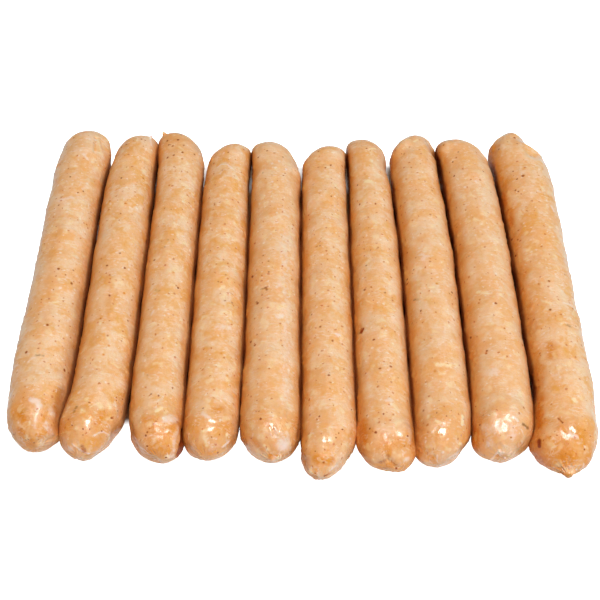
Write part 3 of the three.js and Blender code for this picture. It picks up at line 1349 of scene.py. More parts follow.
def link_01() -> SausageLink:
    """The leftmost link, free on its left and hardly wet.

    Returns:
        The link.
    """
    return SausageLink(
        node="link_01",
        seed=1.0,
        shine=0.35,
        neighbours=("", "link_02"),
        sides=(
            Sway(((-74, 0), (-58, -0.7), (-36, -0.7), (-16, 0))),
            Sway((
                (-104, -1.8), (-88, -2.2), (-66, 0.6), (-40, 1.4), (20, 1.0), (60, 1.0), (86, 2.2),
                (100, 0.4),
            )),
        ),
        gold=(1.0, 0.3),
        finish=CasingFinish(warm_share=0.5),
        marks=(
            # Near end
            Mark(Kind.FOLD, 7.0, at=((26, 445), (38, 448), (50, 446)), lift=-0.9),
            Mark(Kind.FOLD, 4.0, at=((42, 440), (50, 439)), lift=-0.4),
            Mark(Kind.FOLD, 6.0, at=((57, 437),), lift=1.4),
            # Painted shadow of the second link's end down the right flank: dark shade, with orange over it.
            Mark(Kind.PAINTED_SHADE, 5.0, at=((62, 392), (58, 408), (58, 420), (60, 430)), strength=0.4),
            Mark(Kind.ORANGE, 6.0, at=((58, 392), (54, 404), (53, 420), (56, 432)), strength=0.6),
            Mark(Kind.ORANGE, 6.0, at=((20, 432), (30, 440)), strength=0.9),
            Mark(Kind.ORANGE, 4.0, at=((44, 418), (47, 426)), strength=0.8),
            Mark(Kind.ORANGE, 5.0, at=((20, 414), (27, 424)), strength=0.9, lift=-0.25),
            Mark(Kind.ORANGE, 2.2, at=((37, 435), (51, 435)), lift=0.2),
            Mark(Kind.MEMBRANE, 3.0, at=((32, 400), (37, 402), (39, 406)), strength=0.85, lift=0.35),
            Mark(Kind.MEMBRANE, 2.0, at=((38.5, 410.5), (35.7, 418), (35, 427)), strength=0.5, lift=0.15),
            Mark(Kind.MEMBRANE, 3.0, at=((46, 424), (51, 433)), strength=0.6, lift=0.2),
            Mark(Kind.MEMBRANE, 5.0, at=((52, 414),), strength=0.6),
            Mark(Kind.FAT, 1.8, at=((30, 422), (26.5, 440)), strength=0.6),
            Mark(Kind.BROWN, 3.0, at=((21, 430),), strength=0.35),
            *spots(Kind.SPECK, 0.7, at=(
                (37.5, 409.5), (14.5, 396.5), (14.5, 434), (20.5, 438), (28, 439.5), (25.5, 440.5),
                (34, 443.5),
            )),
            *spots(Kind.SPECK, 0.7, at=((38.5, 440), (56, 413), (22.5, 428.5), (44.5, 404.5)), strength=0.7),
            # Middle
            # Painted shade down the right flank, beside the second link.
            Mark(Kind.PAINTED_SHADE, 6.5, at=((81, 295), (74, 335), (66, 375)), strength=0.2),
            Mark(Kind.ORANGE, 6.0, at=((52, 268), (48, 312), (44, 332)), strength=0.4),
            Mark(Kind.ORANGE, 5.0, at=((60, 204), (56, 236)), strength=0.35),
            Mark(Kind.ORANGE, 6.0, at=((60, 225), (50, 262)), strength=0.45),
            Mark(Kind.MEMBRANE, 0.9, at=((28, 362), (35, 357.5)), strength=0.8, lift=0.15),
            Mark(Kind.MEMBRANE, 0.9, at=((15, 368), (18.5, 365)), strength=0.9, lift=0.2),
            Mark(Kind.FAT, 2.6, at=((59, 279),), strength=0.6),
            Mark(Kind.FAT, 1.6, at=((50, 304), (57, 302.5)), strength=0.6),
            *spots(Kind.BROWN, 1.3, strength=0.9, at=(
                (26.5, 352.5), (64, 370.5), (58.5, 269), (71.5, 283.5), (47.5, 325.5),
            )),
            *spots(Kind.BROWN, 1.0, at=((65.5, 275), (73.3, 270.5), (38.5, 349)), strength=0.7),
            Mark(Kind.HERB, 1.5, at=((36, 355.5), (43, 356)), strength=0.5),
            # Far end
            Mark(Kind.FOLD, 6.0, at=((107, 144), (108.5, 152)), lift=1.2),
            Mark(Kind.FOLD, 1.5, at=((96, 138), (95, 146), (94.5, 152)), lift=-0.7),
            Mark(Kind.FOLD, 3.0, at=((103, 137), (107, 146)), lift=0.4),
            Mark(Kind.ORANGE, 1.7, at=((96, 138), (94.8, 150.6)), strength=0.55),
            Mark(Kind.ORANGE, 3.5, at=((61.5, 191),), strength=0.6),
            Mark(Kind.MEMBRANE, 2.4, at=((60.5, 201), (72, 198)), strength=0.7, lift=0.1),
            Mark(Kind.MEMBRANE, 1.4, at=((83.5, 155), (88, 160)), strength=0.8),
            *spots(Kind.MEMBRANE, 1.3, at=((63, 180.5), (59, 186), (87, 139), (95.5, 139.5)), lift=0.12),
            Mark(Kind.FAT, 1.8, at=((98.5, 142), (100, 150)), strength=0.5, lift=0.3),
            *spots(Kind.SPECK, 0.9, at=((73.8, 138), (70.5, 177.5), (78, 193), (83, 191.5), (59, 205.5))),
            *spots(Kind.SPECK, 0.8, strength=0.7, at=(
                (62.5, 162.5), (67, 149.5), (105.5, 177), (62.5, 208.5),
            )),
        ),
    )


def link_02() -> SausageLink:
    """The second link, tied to the third at its far end.

    Returns:
        The link.
    """
    return SausageLink(
        node="link_02",
        seed=2.0,
        neighbours=("link_01", "link_03"),
        sides=(
            Sway(((-104, -1.8), (-88, -2.2), (-66, 0.6), (-40, 1.4), (20, 1.0), (60, 1.0), (86, 1.4))),
            Sway(((-104, -3.2), (-90, -1.0), (-78, 0.6), (-40, 0.8), (60, 1.0), (90, 0.7))),
        ),
        gold=(0.85, 0.4),
        pleats=(0.25, 0.2),
        finish=CasingFinish(warm_share=0.8),
        marks=(
            # Near end
            Mark(Kind.FOLD, 8.0, at=((104, 452.5), (110, 446.5), (115, 439)), lift=-2.2),
            Mark(Kind.ORANGE, 4.5, at=((101, 413), (98, 425)), strength=0.8),
            Mark(Kind.ORANGE, 4.0, at=((72, 403),), strength=0.7),
            Mark(Kind.MEMBRANE, 0.9, strength=0.75, lift=0.2, at=(
                (94, 435.5), (98, 433), (103, 431.5), (108.5, 435),
            )),
            Mark(Kind.MEMBRANE, 0.9, at=((73, 443.5), (81.5, 450), (89, 453)), strength=0.8, lift=0.25),
            Mark(Kind.MEMBRANE, 3.6, at=((71, 448.5),), strength=0.7),
            Mark(Kind.FAT, 2.6, at=((82, 411.5),), strength=0.8, lift=0.15),
            Mark(Kind.FAT, 2.2, at=((86.5, 399.5),), strength=0.8),
            Mark(Kind.FAT, 2.6, at=((109.5, 408),), strength=0.7, lift=0.12),
            Mark(Kind.FAT, 1.7, at=((76.5, 428),), lift=0.2),
            Mark(Kind.WET, 6.5, at=((93, 417), (86.5, 425)), lift=0.15),
            Mark(Kind.BROWN, 2.2, at=((82, 446), (85, 451)), strength=0.5),
            Mark(Kind.HERB, 1.6, at=((76.7, 407), (74.2, 413)), strength=0.5),
            Mark(Kind.SPECK, 1.1, at=((111.4, 418),)),
            *spots(Kind.SPECK, 0.7, at=(
                (89.5, 402.7), (116.5, 397.5), (116.4, 400), (122, 399.5), (72.3, 425.5), (83, 429),
                (101.5, 431),
            )),
            *spots(Kind.SPECK, 0.7, strength=0.7, at=(
                (121, 412.5), (117, 411), (89.5, 429), (94.6, 424), (83, 435),
            )),
            # Middle
            *spots(Kind.ORANGE, 1.4, at=((108.8, 346), (103.5, 355)), strength=0.9),
            Mark(Kind.ORANGE, 4.5, at=((116, 292), (115, 300)), strength=0.5),
            Mark(Kind.ORANGE, 6.0, at=((112, 272), (108, 320)), strength=0.4),
            *spots(Kind.ORANGE, 1.4, at=((124, 293.3), (103.5, 323))),
            Mark(Kind.ORANGE, 6.0, at=((112, 292), (108, 305)), strength=0.5),
            Mark(Kind.FAT, 2.6, at=((100.5, 323),), strength=0.6),
            *spots(Kind.BROWN, 1.0, at=((127.5, 321), (107.7, 336), (120, 253.5)), strength=0.7),
            *spots(Kind.SPECK, 1.1, at=((107.3, 266), (124.7, 268.3), (109.4, 295.5))),
            # Far end
            Mark(Kind.ORANGE, 5.0, at=((120, 196),), strength=0.4),
            Mark(Kind.ORANGE, 6.0, at=((130, 168),), strength=0.35),
            Mark(Kind.MEMBRANE, 1.2, at=((149.7, 138.5), (151, 146)), lift=0.2),
            Mark(Kind.MEMBRANE, 1.3, at=((111, 194.5), (117, 191), (127, 187.5)), strength=0.7),
            *spots(Kind.MEMBRANE, 1.2, at=((116.5, 161), (107.6, 203.5), (110.8, 204)), lift=0.1),
            Mark(Kind.FAT, 1.4, at=((150.3, 138.6),), lift=1.6),
            *spots(Kind.SPECK, 0.9, at=(
                (126.7, 145), (145, 140.5), (141.5, 139.5), (122, 148), (121.6, 178.5), (120.7, 214),
            )),
            *spots(Kind.SPECK, 0.8, strength=0.7, at=(
                (128, 140), (113.7, 183), (143.3, 146.5), (148, 194.5),
            )),
        ),
    )


def link_03() -> SausageLink:
    """The third link, with a fold down the right of its near end, darkened by painted shade.

    Returns:
        The link.
    """
    return SausageLink(
        node="link_03",
        seed=3.0,
        shine=0.55,
        neighbours=("link_02", "link_04"),
        sides=(
            Sway(((-104, 1.2), (-90, 0.2), (-74, 0.3), (-40, 0.8), (60, 1.0), (90, 0.7))),
            Sway(((50, 0), (76, 0.8), (98, 1.4))),
        ),
        gold=(1.0, 0.9),
        finish=CasingFinish(warm_share=0.65),
        marks=(
            # Near end
            Mark(Kind.FOLD, 8.0, lift=-1.5, at=(
                (130, 434), (135, 446), (141, 454), (147, 458.5), (153, 460.5),
            )),
            Mark(Kind.FOLD, 6.0, at=((180.5, 446),), lift=1.0),
            Mark(Kind.FOLD, 3.2, at=((181.5, 434), (180, 445), (178.5, 453)), lift=-1.8),
            # Painted shade in the fold down the right of the near end.
            Mark(Kind.PAINTED_SHADE, 2.0, at=((183, 428), (182, 439)), strength=0.8),
            Mark(Kind.ORANGE, 5.0, at=((152, 432), (160, 438)), strength=0.7),
            Mark(Kind.ORANGE, 2.6, at=((158, 440), (160.5, 449)), strength=0.7),
            Mark(Kind.MEMBRANE, 3.4, at=((165, 420), (176, 420)), strength=0.6, lift=0.15),
            Mark(Kind.MEMBRANE, 2.6, at=((176.5, 428), (173, 440), (171.2, 455)), strength=0.6, lift=0.5),
            Mark(Kind.FAT, 1.7, at=((156.5, 411.5), (161, 408.5)), lift=0.2),
            Mark(Kind.FAT, 3.0, at=((149.5, 424),), strength=0.7),
            Mark(Kind.FAT, 2.4, at=((167, 456),), strength=0.8, lift=0.2),
            Mark(Kind.WET, 2.6, at=((168.5, 431.5),), lift=0.25),
            # Brown painted shade along the same fold.
            Mark(Kind.BROWN, 4.0, at=((182, 432), (181, 445), (179, 454)), strength=0.8),
            *spots(Kind.SPECK, 0.9, at=((154, 424.4), (165.8, 456.5), (147.6, 445.7)), strength=0.9),
            *spots(Kind.SPECK, 1.0, strength=0.7, at=(
                (158.4, 396.2), (182, 399), (156, 422), (146.3, 435.5), (147.6, 432.3),
            )),
            # Middle
            *spots(Kind.ORANGE, 5.0, at=((162, 272), (164, 216)), strength=0.35),
            Mark(Kind.ORANGE, 1.4, at=((173, 273.4),)),
            *spots(Kind.MEMBRANE, 1.4, at=((151.2, 294.4), (157, 294.4), (168.8, 314.7)), strength=0.8),
            Mark(Kind.MEMBRANE, 1.0, at=((151.5, 316), (154, 311)), strength=0.8),
            Mark(Kind.BROWN, 0.8, at=((170, 282.5), (174, 284), (177.6, 288.2)), strength=0.35),
            Mark(Kind.HERB, 1.6, at=((148, 376),), strength=0.5),
            Mark(Kind.HERB, 1.3, at=((168, 240),), strength=0.5),
            Mark(Kind.HERB, 1.8, at=((156, 290.5), (159.5, 290.7)), strength=0.4),
            Mark(Kind.HERB, 1.2, at=((165, 247.3),), strength=0.5),
            *spots(Kind.SPECK, 1.0, at=((172.4, 388.3), (151, 394.3)), strength=0.7),
            *spots(Kind.SPECK, 1.1, at=((154.7, 260.6), (177.8, 288.3))),
            # Far end
            Mark(Kind.FOLD, 5.0, at=((199, 157), (202, 164)), lift=1.0),
            *spots(Kind.MEMBRANE, 1.2, at=((165.6, 178), (190.5, 206.7)), lift=0.1),
            Mark(Kind.MEMBRANE, 0.9, at=((191.5, 196), (198, 207)), strength=0.8),
            Mark(Kind.FAT, 1.5, at=((165.2, 135.6),), lift=2.2),
            *spots(Kind.SPECK, 1.2, at=(
                (178, 140.7), (167.8, 141.4), (181, 135.6), (173, 146.5), (182.5, 153.2), (174, 156),
                (168, 158.3),
            )),
            *spots(Kind.SPECK, 1.1, strength=0.8, at=(
                (169.2, 145.5), (183.5, 146), (194, 155), (169.5, 185.7), (187.3, 195.3),
            )),
        ),
    )


def link_04() -> SausageLink:
    """The fourth link, tied to the fifth at its far end.

    Returns:
        The link.
    """
    return SausageLink(
        node="link_04",
        seed=4.0,
        neighbours=("link_03", "link_05"),
        sides=(
            Sway(((50, 0), (76, 0.0), (98, -0.4))),
            Sway(),
        ),
        gold=(0.85, 0.35),
        finish=CasingFinish(warm_share=0.75),
        marks=(
            # Near end
            Mark(Kind.FOLD, 6.0, at=((190, 451),), lift=-1.0),
            Mark(Kind.ORANGE, 5.0, at=((216.5, 411), (222, 409)), strength=0.7, lift=-0.05),
            Mark(Kind.MEMBRANE, 2.2, at=((203, 414), (209, 418)), strength=0.7, lift=0.2),
            Mark(Kind.MEMBRANE, 1.2, at=((222, 446), (228, 441)), strength=0.8, lift=0.15),
            Mark(Kind.MEMBRANE, 4.0, at=((212, 448),), strength=0.45),
            Mark(Kind.FAT, 2.2, at=((203, 432), (207, 445)), strength=0.6),
            Mark(Kind.FAT, 1.8, at=((226, 434.5),), strength=0.8, lift=0.12),
            Mark(Kind.WET, 6.5, at=((218.5, 421), (208.5, 427)), lift=0.2),
            Mark(Kind.SPECK, 1.0, at=((217.5, 452),), strength=0.8),
            *spots(Kind.SPECK, 0.7, strength=0.8, at=(
                (211.5, 437), (219, 434.5), (203.2, 408.7), (233.4, 404.7),
            )),
            # Middle
            *spots(Kind.ORANGE, 1.4, at=((220.8, 354), (226.7, 376)), strength=0.9),
            *spots(Kind.ORANGE, 5.0, at=((220, 296), (216, 364)), strength=0.4),
            Mark(Kind.ORANGE, 5.0, at=((226, 216),), strength=0.35),
            Mark(Kind.ORANGE, 5.0, at=((232, 395),), strength=0.5),
            Mark(Kind.MEMBRANE, 3.4, at=((219, 327), (229, 328)), strength=0.6),
            Mark(Kind.FAT, 3.0, at=((222.4, 287.4),), strength=0.7),
            Mark(Kind.FAT, 2.4, at=((235, 365), (233, 372)), strength=0.6),
            *spots(Kind.BROWN, 1.1, at=((218.5, 282), (225, 301), (225.6, 275.4), (232, 303)), strength=0.6),
            Mark(Kind.BROWN, 0.9, at=((229.5, 293), (232.5, 295)), strength=0.45),
            Mark(Kind.BROWN, 0.9, at=((225, 320), (229, 320.3)), strength=0.3),
            # Far end
            Mark(Kind.ORANGE, 1.6, at=((213, 160),), lift=1.2),
            Mark(Kind.MEMBRANE, 1.0, strength=0.8, lift=0.15, at=(
                (217.5, 168), (221, 165), (227, 164.7), (232, 169),
            )),
            Mark(Kind.MEMBRANE, 1.4, at=((220.4, 174.5), (222.5, 170.5)), strength=0.6),
            *spots(Kind.MEMBRANE, 1.2, at=((225, 185.7), (241.5, 153.8)), lift=0.1),
            *spots(Kind.SPECK, 0.9, at=((228.3, 152.8), (214.3, 164), (215, 205.5))),
            *spots(Kind.SPECK, 0.8, at=((222.3, 160), (228.3, 160)), strength=0.6),
        ),
    )


def link_05() -> SausageLink:
    """The fifth link, paler down its right side (pale membrane, partly painted sheen) and with pale membrane
    over its near end.

    Returns:
        The link.
    """
    return SausageLink(
        node="link_05",
        seed=5.0,
        neighbours=("link_04", "link_06"),
        sides=(
            Sway(((-96, 0), (-84, -1.1), (-66, -0.7), (-40, 0))),
            Sway(((50, 0), (78, 0.8), (98, 0.3))),
        ),
        gold=(0.8, 0.3),
        finish=CasingFinish(warm_share=0.35),
        marks=(
            # Near end
            Mark(Kind.FOLD, 0.9, at=((286.7, 408), (285, 411), (284.2, 416.8)), lift=0.3),
            Mark(Kind.FOLD, 1.2, at=((269.5, 427.5), (271.5, 434)), lift=0.35),
            Mark(Kind.FOLD, 1.1, at=((274.5, 427), (278, 434.5)), lift=0.35),
            Mark(Kind.FOLD, 1.2, at=((281, 432), (284.5, 440)), lift=0.35),
            # Painted shade down the right flank of the near end, beside the sixth link.
            Mark(Kind.PAINTED_SHADE, 2.6, at=((298.5, 396), (298.5, 424), (297, 435)), strength=0.7),
            Mark(Kind.ORANGE, 4.0, at=((254, 440), (262, 449)), strength=0.8),
            Mark(Kind.ORANGE, 3.0, at=((271, 456), (287, 455))),
            Mark(Kind.MEMBRANE, 2.4, at=((286, 434), (289.5, 449)), strength=0.5, lift=0.3),
            Mark(Kind.MEMBRANE, 6.0, at=((283, 444),), strength=0.9),
            Mark(Kind.MEMBRANE, 5.5, at=((272, 430), (281, 438)), strength=0.45),
            Mark(Kind.FAT, 1.4, at=((265, 445), (268.5, 449)), strength=0.8, lift=0.2),
            Mark(Kind.FAT, 2.2, at=((279, 456.5),), lift=0.5),
            Mark(Kind.WET, 3.4, at=((286.5, 408.5), (284.3, 416))),
            Mark(Kind.WET, 6.0, at=((270, 428), (283, 440))),
            Mark(Kind.SPECK, 1.0, at=((261, 419.3),)),
            *spots(Kind.SPECK, 0.7, at=((251.7, 438.2), (263, 453.8), (259.4, 412)), strength=0.8),
            # Middle
            Mark(Kind.ORANGE, 5.5, at=((260, 240), (262, 292), (260, 344), (259, 370)), strength=0.35),
            Mark(Kind.MEMBRANE, 2.4, at=((277, 283.5), (282, 285)), strength=0.6),
            Mark(Kind.MEMBRANE, 2.6, at=((277, 317), (282, 316)), strength=0.7),
            # Paler down the right flank: pale membrane, partly painted sheen.
            Mark(Kind.MEMBRANE, 6.0, at=((283, 235), (286, 330), (287, 400)), strength=0.42),
            Mark(Kind.MEMBRANE, 6.0, at=((279, 285),), strength=0.5),
            Mark(Kind.FAT, 3.0, at=((280, 316),), strength=0.7),
            *spots(Kind.BROWN, 1.2, strength=0.9, at=(
                (253, 277), (258, 303.7), (255.4, 345.5), (251.3, 342),
            )),
            *spots(Kind.BROWN, 1.0, strength=0.7, at=(
                (263.3, 255.7), (268.6, 261.5), (268.8, 272.5), (257.3, 335),
            )),
            Mark(Kind.BROWN, 1.6, at=((266, 288), (267, 290)), strength=0.5),
            Mark(Kind.BROWN, 1.4, at=((257, 302.5),), strength=0.6),
            Mark(Kind.HERB, 1.6, at=((262, 289.3), (266, 289)), strength=0.5),
            # Far end
            Mark(Kind.FOLD, 5.0, at=((297.5, 174),), lift=0.8),
            *spots(Kind.MEMBRANE, 1.4, lift=0.12, at=(
                (279, 161.5), (272.4, 163.8), (275.5, 167.8), (285.7, 169.7), (272.3, 182.2),
            )),
            Mark(Kind.HERB, 1.3, at=((263.4, 173),), strength=0.6),
            *spots(Kind.SPECK, 0.9, at=((267.2, 151.3), (258.7, 158), (282.7, 157.2), (283.2, 176))),
        ),
    )


def link_06() -> SausageLink:
    """The sixth link, which reaches furthest to the near side.

    Returns:
        The link.
    """
    return SausageLink(
        node="link_06",
        seed=6.0,
        neighbours=("link_05", "link_07"),
        sides=(
            Sway(((50, 0), (78, -0.7), (98, -0.8))),
            Sway(((-100, -0.4), (-86, 0.8), (-66, 0))),
        ),
        gold=(0.7, 0.45),
        pleats=(0.25, 0.2),
        finish=CasingFinish(warm_share=0.6),
        marks=(
            # Near end
            Mark(Kind.FOLD, 6.0, at=((304, 461),), lift=-1.0),
            Mark(Kind.FOLD, 7.0, at=((327, 477), (338, 468)), lift=-0.8),
            Mark(Kind.ORANGE, 5.0, at=((317, 459), (331, 461)), strength=0.8),
            Mark(Kind.ORANGE, 5.0, at=((318, 424), (312, 415)), strength=0.35),
            Mark(Kind.MEMBRANE, 1.0, at=((330, 471), (336, 465.5)), strength=0.8, lift=0.2),
            Mark(Kind.FAT, 2.8, at=((310.5, 436),), strength=0.8, lift=0.12),
            Mark(Kind.FAT, 2.6, at=((311.5, 471),), strength=0.9, lift=0.2),
            Mark(Kind.WET, 7.0, at=((319, 442), (328, 438.5)), lift=0.2),
            Mark(Kind.BROWN, 1.4, at=((325, 476), (332, 473.5)), strength=0.6),
            Mark(Kind.HERB, 1.6, at=((306.5, 442.3),), strength=0.4),
            *spots(Kind.SPECK, 0.7, at=(
                (333.3, 405.6), (351, 410.2), (319.5, 416.4), (338.4, 433.4), (342, 429.8), (335.6, 438),
                (323.3, 462.3),
            )),
            *spots(Kind.SPECK, 0.7, strength=0.8, at=(
                (315.4, 451.2), (315.4, 473), (308.4, 469), (324.6, 449.6), (329.7, 400.2),
            )),
            # Middle
            Mark(Kind.ORANGE, 5.0, at=((320, 284),), strength=0.35),
            Mark(Kind.ORANGE, 5.0, at=((328, 348), (328, 368)), strength=0.35),
            Mark(Kind.MEMBRANE, 1.2, at=((334.5, 334), (340, 336)), strength=0.9),
            *spots(Kind.MEMBRANE, 1.0, at=((312.5, 273.5), (324.5, 350)), lift=0.1),
            *spots(Kind.BROWN, 1.1, at=((332.4, 341), (320.4, 327), (328.8, 376)), strength=0.8),
            *spots(Kind.BROWN, 0.9, at=((312, 315), (334, 302), (320, 246)), strength=0.6),
            # Far end
            Mark(Kind.FOLD, 6.0, at=((306, 165),), lift=1.0),
            Mark(Kind.ORANGE, 5.0, at=((322, 204),), strength=0.35),
            Mark(Kind.MEMBRANE, 1.2, at=((308.5, 204), (308, 210)), strength=0.8, lift=0.1),
            Mark(Kind.FAT, 2.4, at=((316, 158.3),), strength=0.6),
            *spots(Kind.SPECK, 0.9, at=((330.7, 165.3), (325.4, 168), (331, 196.8), (318.6, 152))),
        ),
    )


def link_07() -> SausageLink:
    """The seventh link, tied to the sixth at its far end, with a folded near tip.

    Returns:
        The link.
    """
    return SausageLink(
        node="link_07",
        seed=7.0,
        shine=0.5,
        neighbours=("link_06", "link_08"),
        sides=(
            Sway(((-100, -1.2), (-86, -0.9), (-66, 0))),
            Sway(((20, 0), (60, -1.4), (78, -2.4), (98, 1.4))),
        ),
        gold=(0.95, 0.7),
        finish=CasingFinish(warm_share=0.6),
        marks=(
            # Near end
            Mark(Kind.FOLD, 10.0, at=((359, 436), (363, 447.5), (368, 456)), lift=1.2),
            Mark(Kind.FOLD, 8.0, at=((404, 464.5), (410, 457)), lift=1.6),
            Mark(Kind.FOLD, 8.0, at=((404, 433),), lift=0.9),
            Mark(Kind.FOLD, 8.0, at=((386, 438),), lift=-0.8),
            Mark(Kind.FOLD, 2.4, at=((379, 463.5), (387.5, 459.3), (396, 465.5)), lift=-0.8),
            Mark(Kind.ORANGE, 5.0, at=((384, 436), (390, 454)), strength=0.75),
            # Orange on the left flank of the near end, partly painted shade.
            Mark(Kind.ORANGE, 5.0, at=((364.5, 424), (365.5, 440))),
            Mark(Kind.ORANGE, 2.6, at=((388, 464.6),), lift=0.5),
            Mark(Kind.MEMBRANE, 4.0, at=((408, 425), (408, 440)), strength=0.5),
            Mark(Kind.MEMBRANE, 2.4, at=((404.5, 458),), strength=0.7, lift=0.15),
            Mark(Kind.MEMBRANE, 2.2, at=((386, 401), (391, 400.5)), strength=0.7, lift=0.1),
            Mark(Kind.WET, 4.5, at=((402.6, 436),), lift=0.3),
            # Brown painted shade in the V-shaped crease of the near tip.
            Mark(Kind.BROWN, 2.0, at=((379.5, 462.5), (387.5, 459.3), (395, 464.5)), strength=0.4),
            Mark(Kind.BROWN, 2.0, at=((388, 455.5),), strength=0.4),
            Mark(Kind.SPECK, 0.7, at=((405.6, 436.6),)),
            Mark(Kind.SPECK, 1.1, at=((376, 432.5),)),
            *spots(Kind.SPECK, 0.8, at=((383.7, 414.2), (370.5, 429.2), (395.8, 466.8))),
            *spots(Kind.SPECK, 0.7, at=((379.2, 421.6), (385, 423.8)), strength=0.6),
            # Middle
            Mark(Kind.ORANGE, 5.0, at=((376, 260), (366, 240)), strength=0.35),
            Mark(Kind.MEMBRANE, 1.1, at=((357, 344), (360, 339)), strength=0.9, lift=0.15),
            Mark(Kind.BROWN, 1.2, at=((363.4, 329), (361.8, 333)), strength=0.9),
            *spots(Kind.BROWN, 1.2, at=((365, 290.3), (390.5, 367), (380, 369)), strength=0.8),
            *spots(Kind.BROWN, 1.0, at=((384.7, 293), (366.5, 266), (378, 248)), strength=0.7),
            Mark(Kind.BROWN, 1.1, at=((362, 329), (360.5, 333)), strength=0.7),
            Mark(Kind.SPECK, 1.1, at=((374, 340),)),
            # Far end
            Mark(Kind.FAT, 3.0, at=((367, 181.3), (370, 181.3)), lift=0.1),
            Mark(Kind.FAT, 1.4, at=((369, 149.5), (375, 149)), strength=0.8),
            *spots(Kind.SPECK, 0.9, at=((366.5, 149), (357.8, 185.4), (360, 204.6), (375.4, 204.2))),
        ),
    )


def link_08() -> SausageLink:
    """The eighth link, tied to the ninth at its far end.

    Returns:
        The link.
    """
    return SausageLink(
        node="link_08",
        seed=8.0,
        neighbours=("link_07", "link_09"),
        sides=(
            Sway(((20, 0), (60, -1.4), (86, -2.8), (98, -2.0))),
            Sway(((-102, -1.4), (-88, 0), (20, 0), (50, -1.2), (72, -2.2), (90, -3.0))),
        ),
        gold=(0.75, 0.3),
        finish=CasingFinish(warm_share=0.5),
        marks=(
            # Near end
            Mark(Kind.FOLD, 6.0, at=((419, 456), (425, 461)), lift=0.8),
            Mark(Kind.FOLD, 8.0, at=((453, 461), (459, 457), (464, 451.5)), lift=-1.5),
            Mark(Kind.FOLD, 1.2, at=((437.5, 433), (441, 428)), lift=0.25),
            Mark(Kind.ORANGE, 1.8, at=((433.8, 457),), strength=0.9),
            *spots(Kind.MEMBRANE, 1.2, at=((422.3, 402.4), (428.7, 402.4), (442.7, 451.6)), lift=0.1),
            Mark(Kind.MEMBRANE, 5.0, at=((432, 445),), strength=0.35),
            Mark(Kind.FAT, 1.9, at=((461.9, 417), (461.9, 424)), lift=0.1),
            Mark(Kind.FAT, 2.4, at=((428, 417),), strength=0.7),
            Mark(Kind.FAT, 1.8, at=((459.5, 443.5),), strength=0.8),
            Mark(Kind.FAT, 1.4, at=((436, 421), (440, 423)), strength=0.8),
            Mark(Kind.WET, 6.0, at=((438, 432), (445, 429)), lift=0.2),
            Mark(Kind.BROWN, 1.6, at=((429.3, 465),), strength=0.5),
            Mark(Kind.BROWN, 1.2, at=((424.2, 411),), strength=0.6),
            Mark(Kind.HERB, 1.3, at=((465, 402.8),), strength=0.5),
            *spots(Kind.SPECK, 0.7, at=((428.3, 432.5), (446.3, 416.8), (437, 413)), strength=0.8),
            # Middle
            *spots(Kind.ORANGE, 1.6, at=((436.8, 284), (435, 371.4))),
            Mark(Kind.ORANGE, 5.5, at=((424, 276),), strength=0.4),
            Mark(Kind.ORANGE, 5.0, at=((440, 334),), strength=0.4),
            Mark(Kind.ORANGE, 4.5, at=((420, 240),), strength=0.35),
            Mark(Kind.MEMBRANE, 2.6, at=((420, 255), (428, 257)), strength=0.6),
            Mark(Kind.MEMBRANE, 5.0, at=((424, 258),), strength=0.6),
            Mark(Kind.FAT, 2.6, at=((437, 365), (450, 366)), strength=0.8),
            Mark(Kind.FAT, 1.4, at=((430, 288), (434, 287.5)), strength=0.9),
            *spots(Kind.BROWN, 1.1, at=((407.7, 279.7), (407.7, 284.3), (451.5, 293)), strength=0.9),
            *spots(Kind.BROWN, 1.0, at=((414, 270), (416, 258), (430, 262)), strength=0.6),
            Mark(Kind.HERB, 1.6, at=((414.5, 300), (418.5, 300)), strength=0.55),
            *spots(Kind.SPECK, 0.9, at=((421, 311), (449, 294))),
            # Far end
            Mark(Kind.FOLD, 7.0, at=((431, 145.5), (433.5, 152)), lift=-1.6),
            Mark(Kind.FOLD, 6.0, at=((396, 155), (399.5, 149), (404, 144)), lift=1.3),
            Mark(Kind.FAT, 1.4, at=((406, 142.5), (410, 141)), strength=0.9),
            Mark(Kind.FAT, 1.3, at=((414, 142), (417, 140.5)), strength=0.9),
            Mark(Kind.FAT, 1.3, at=((404, 149.5), (408, 148)), strength=0.7),
            *spots(Kind.SPECK, 0.9, at=((426, 140.7), (404.3, 154.2)), strength=0.9),
        ),
    )


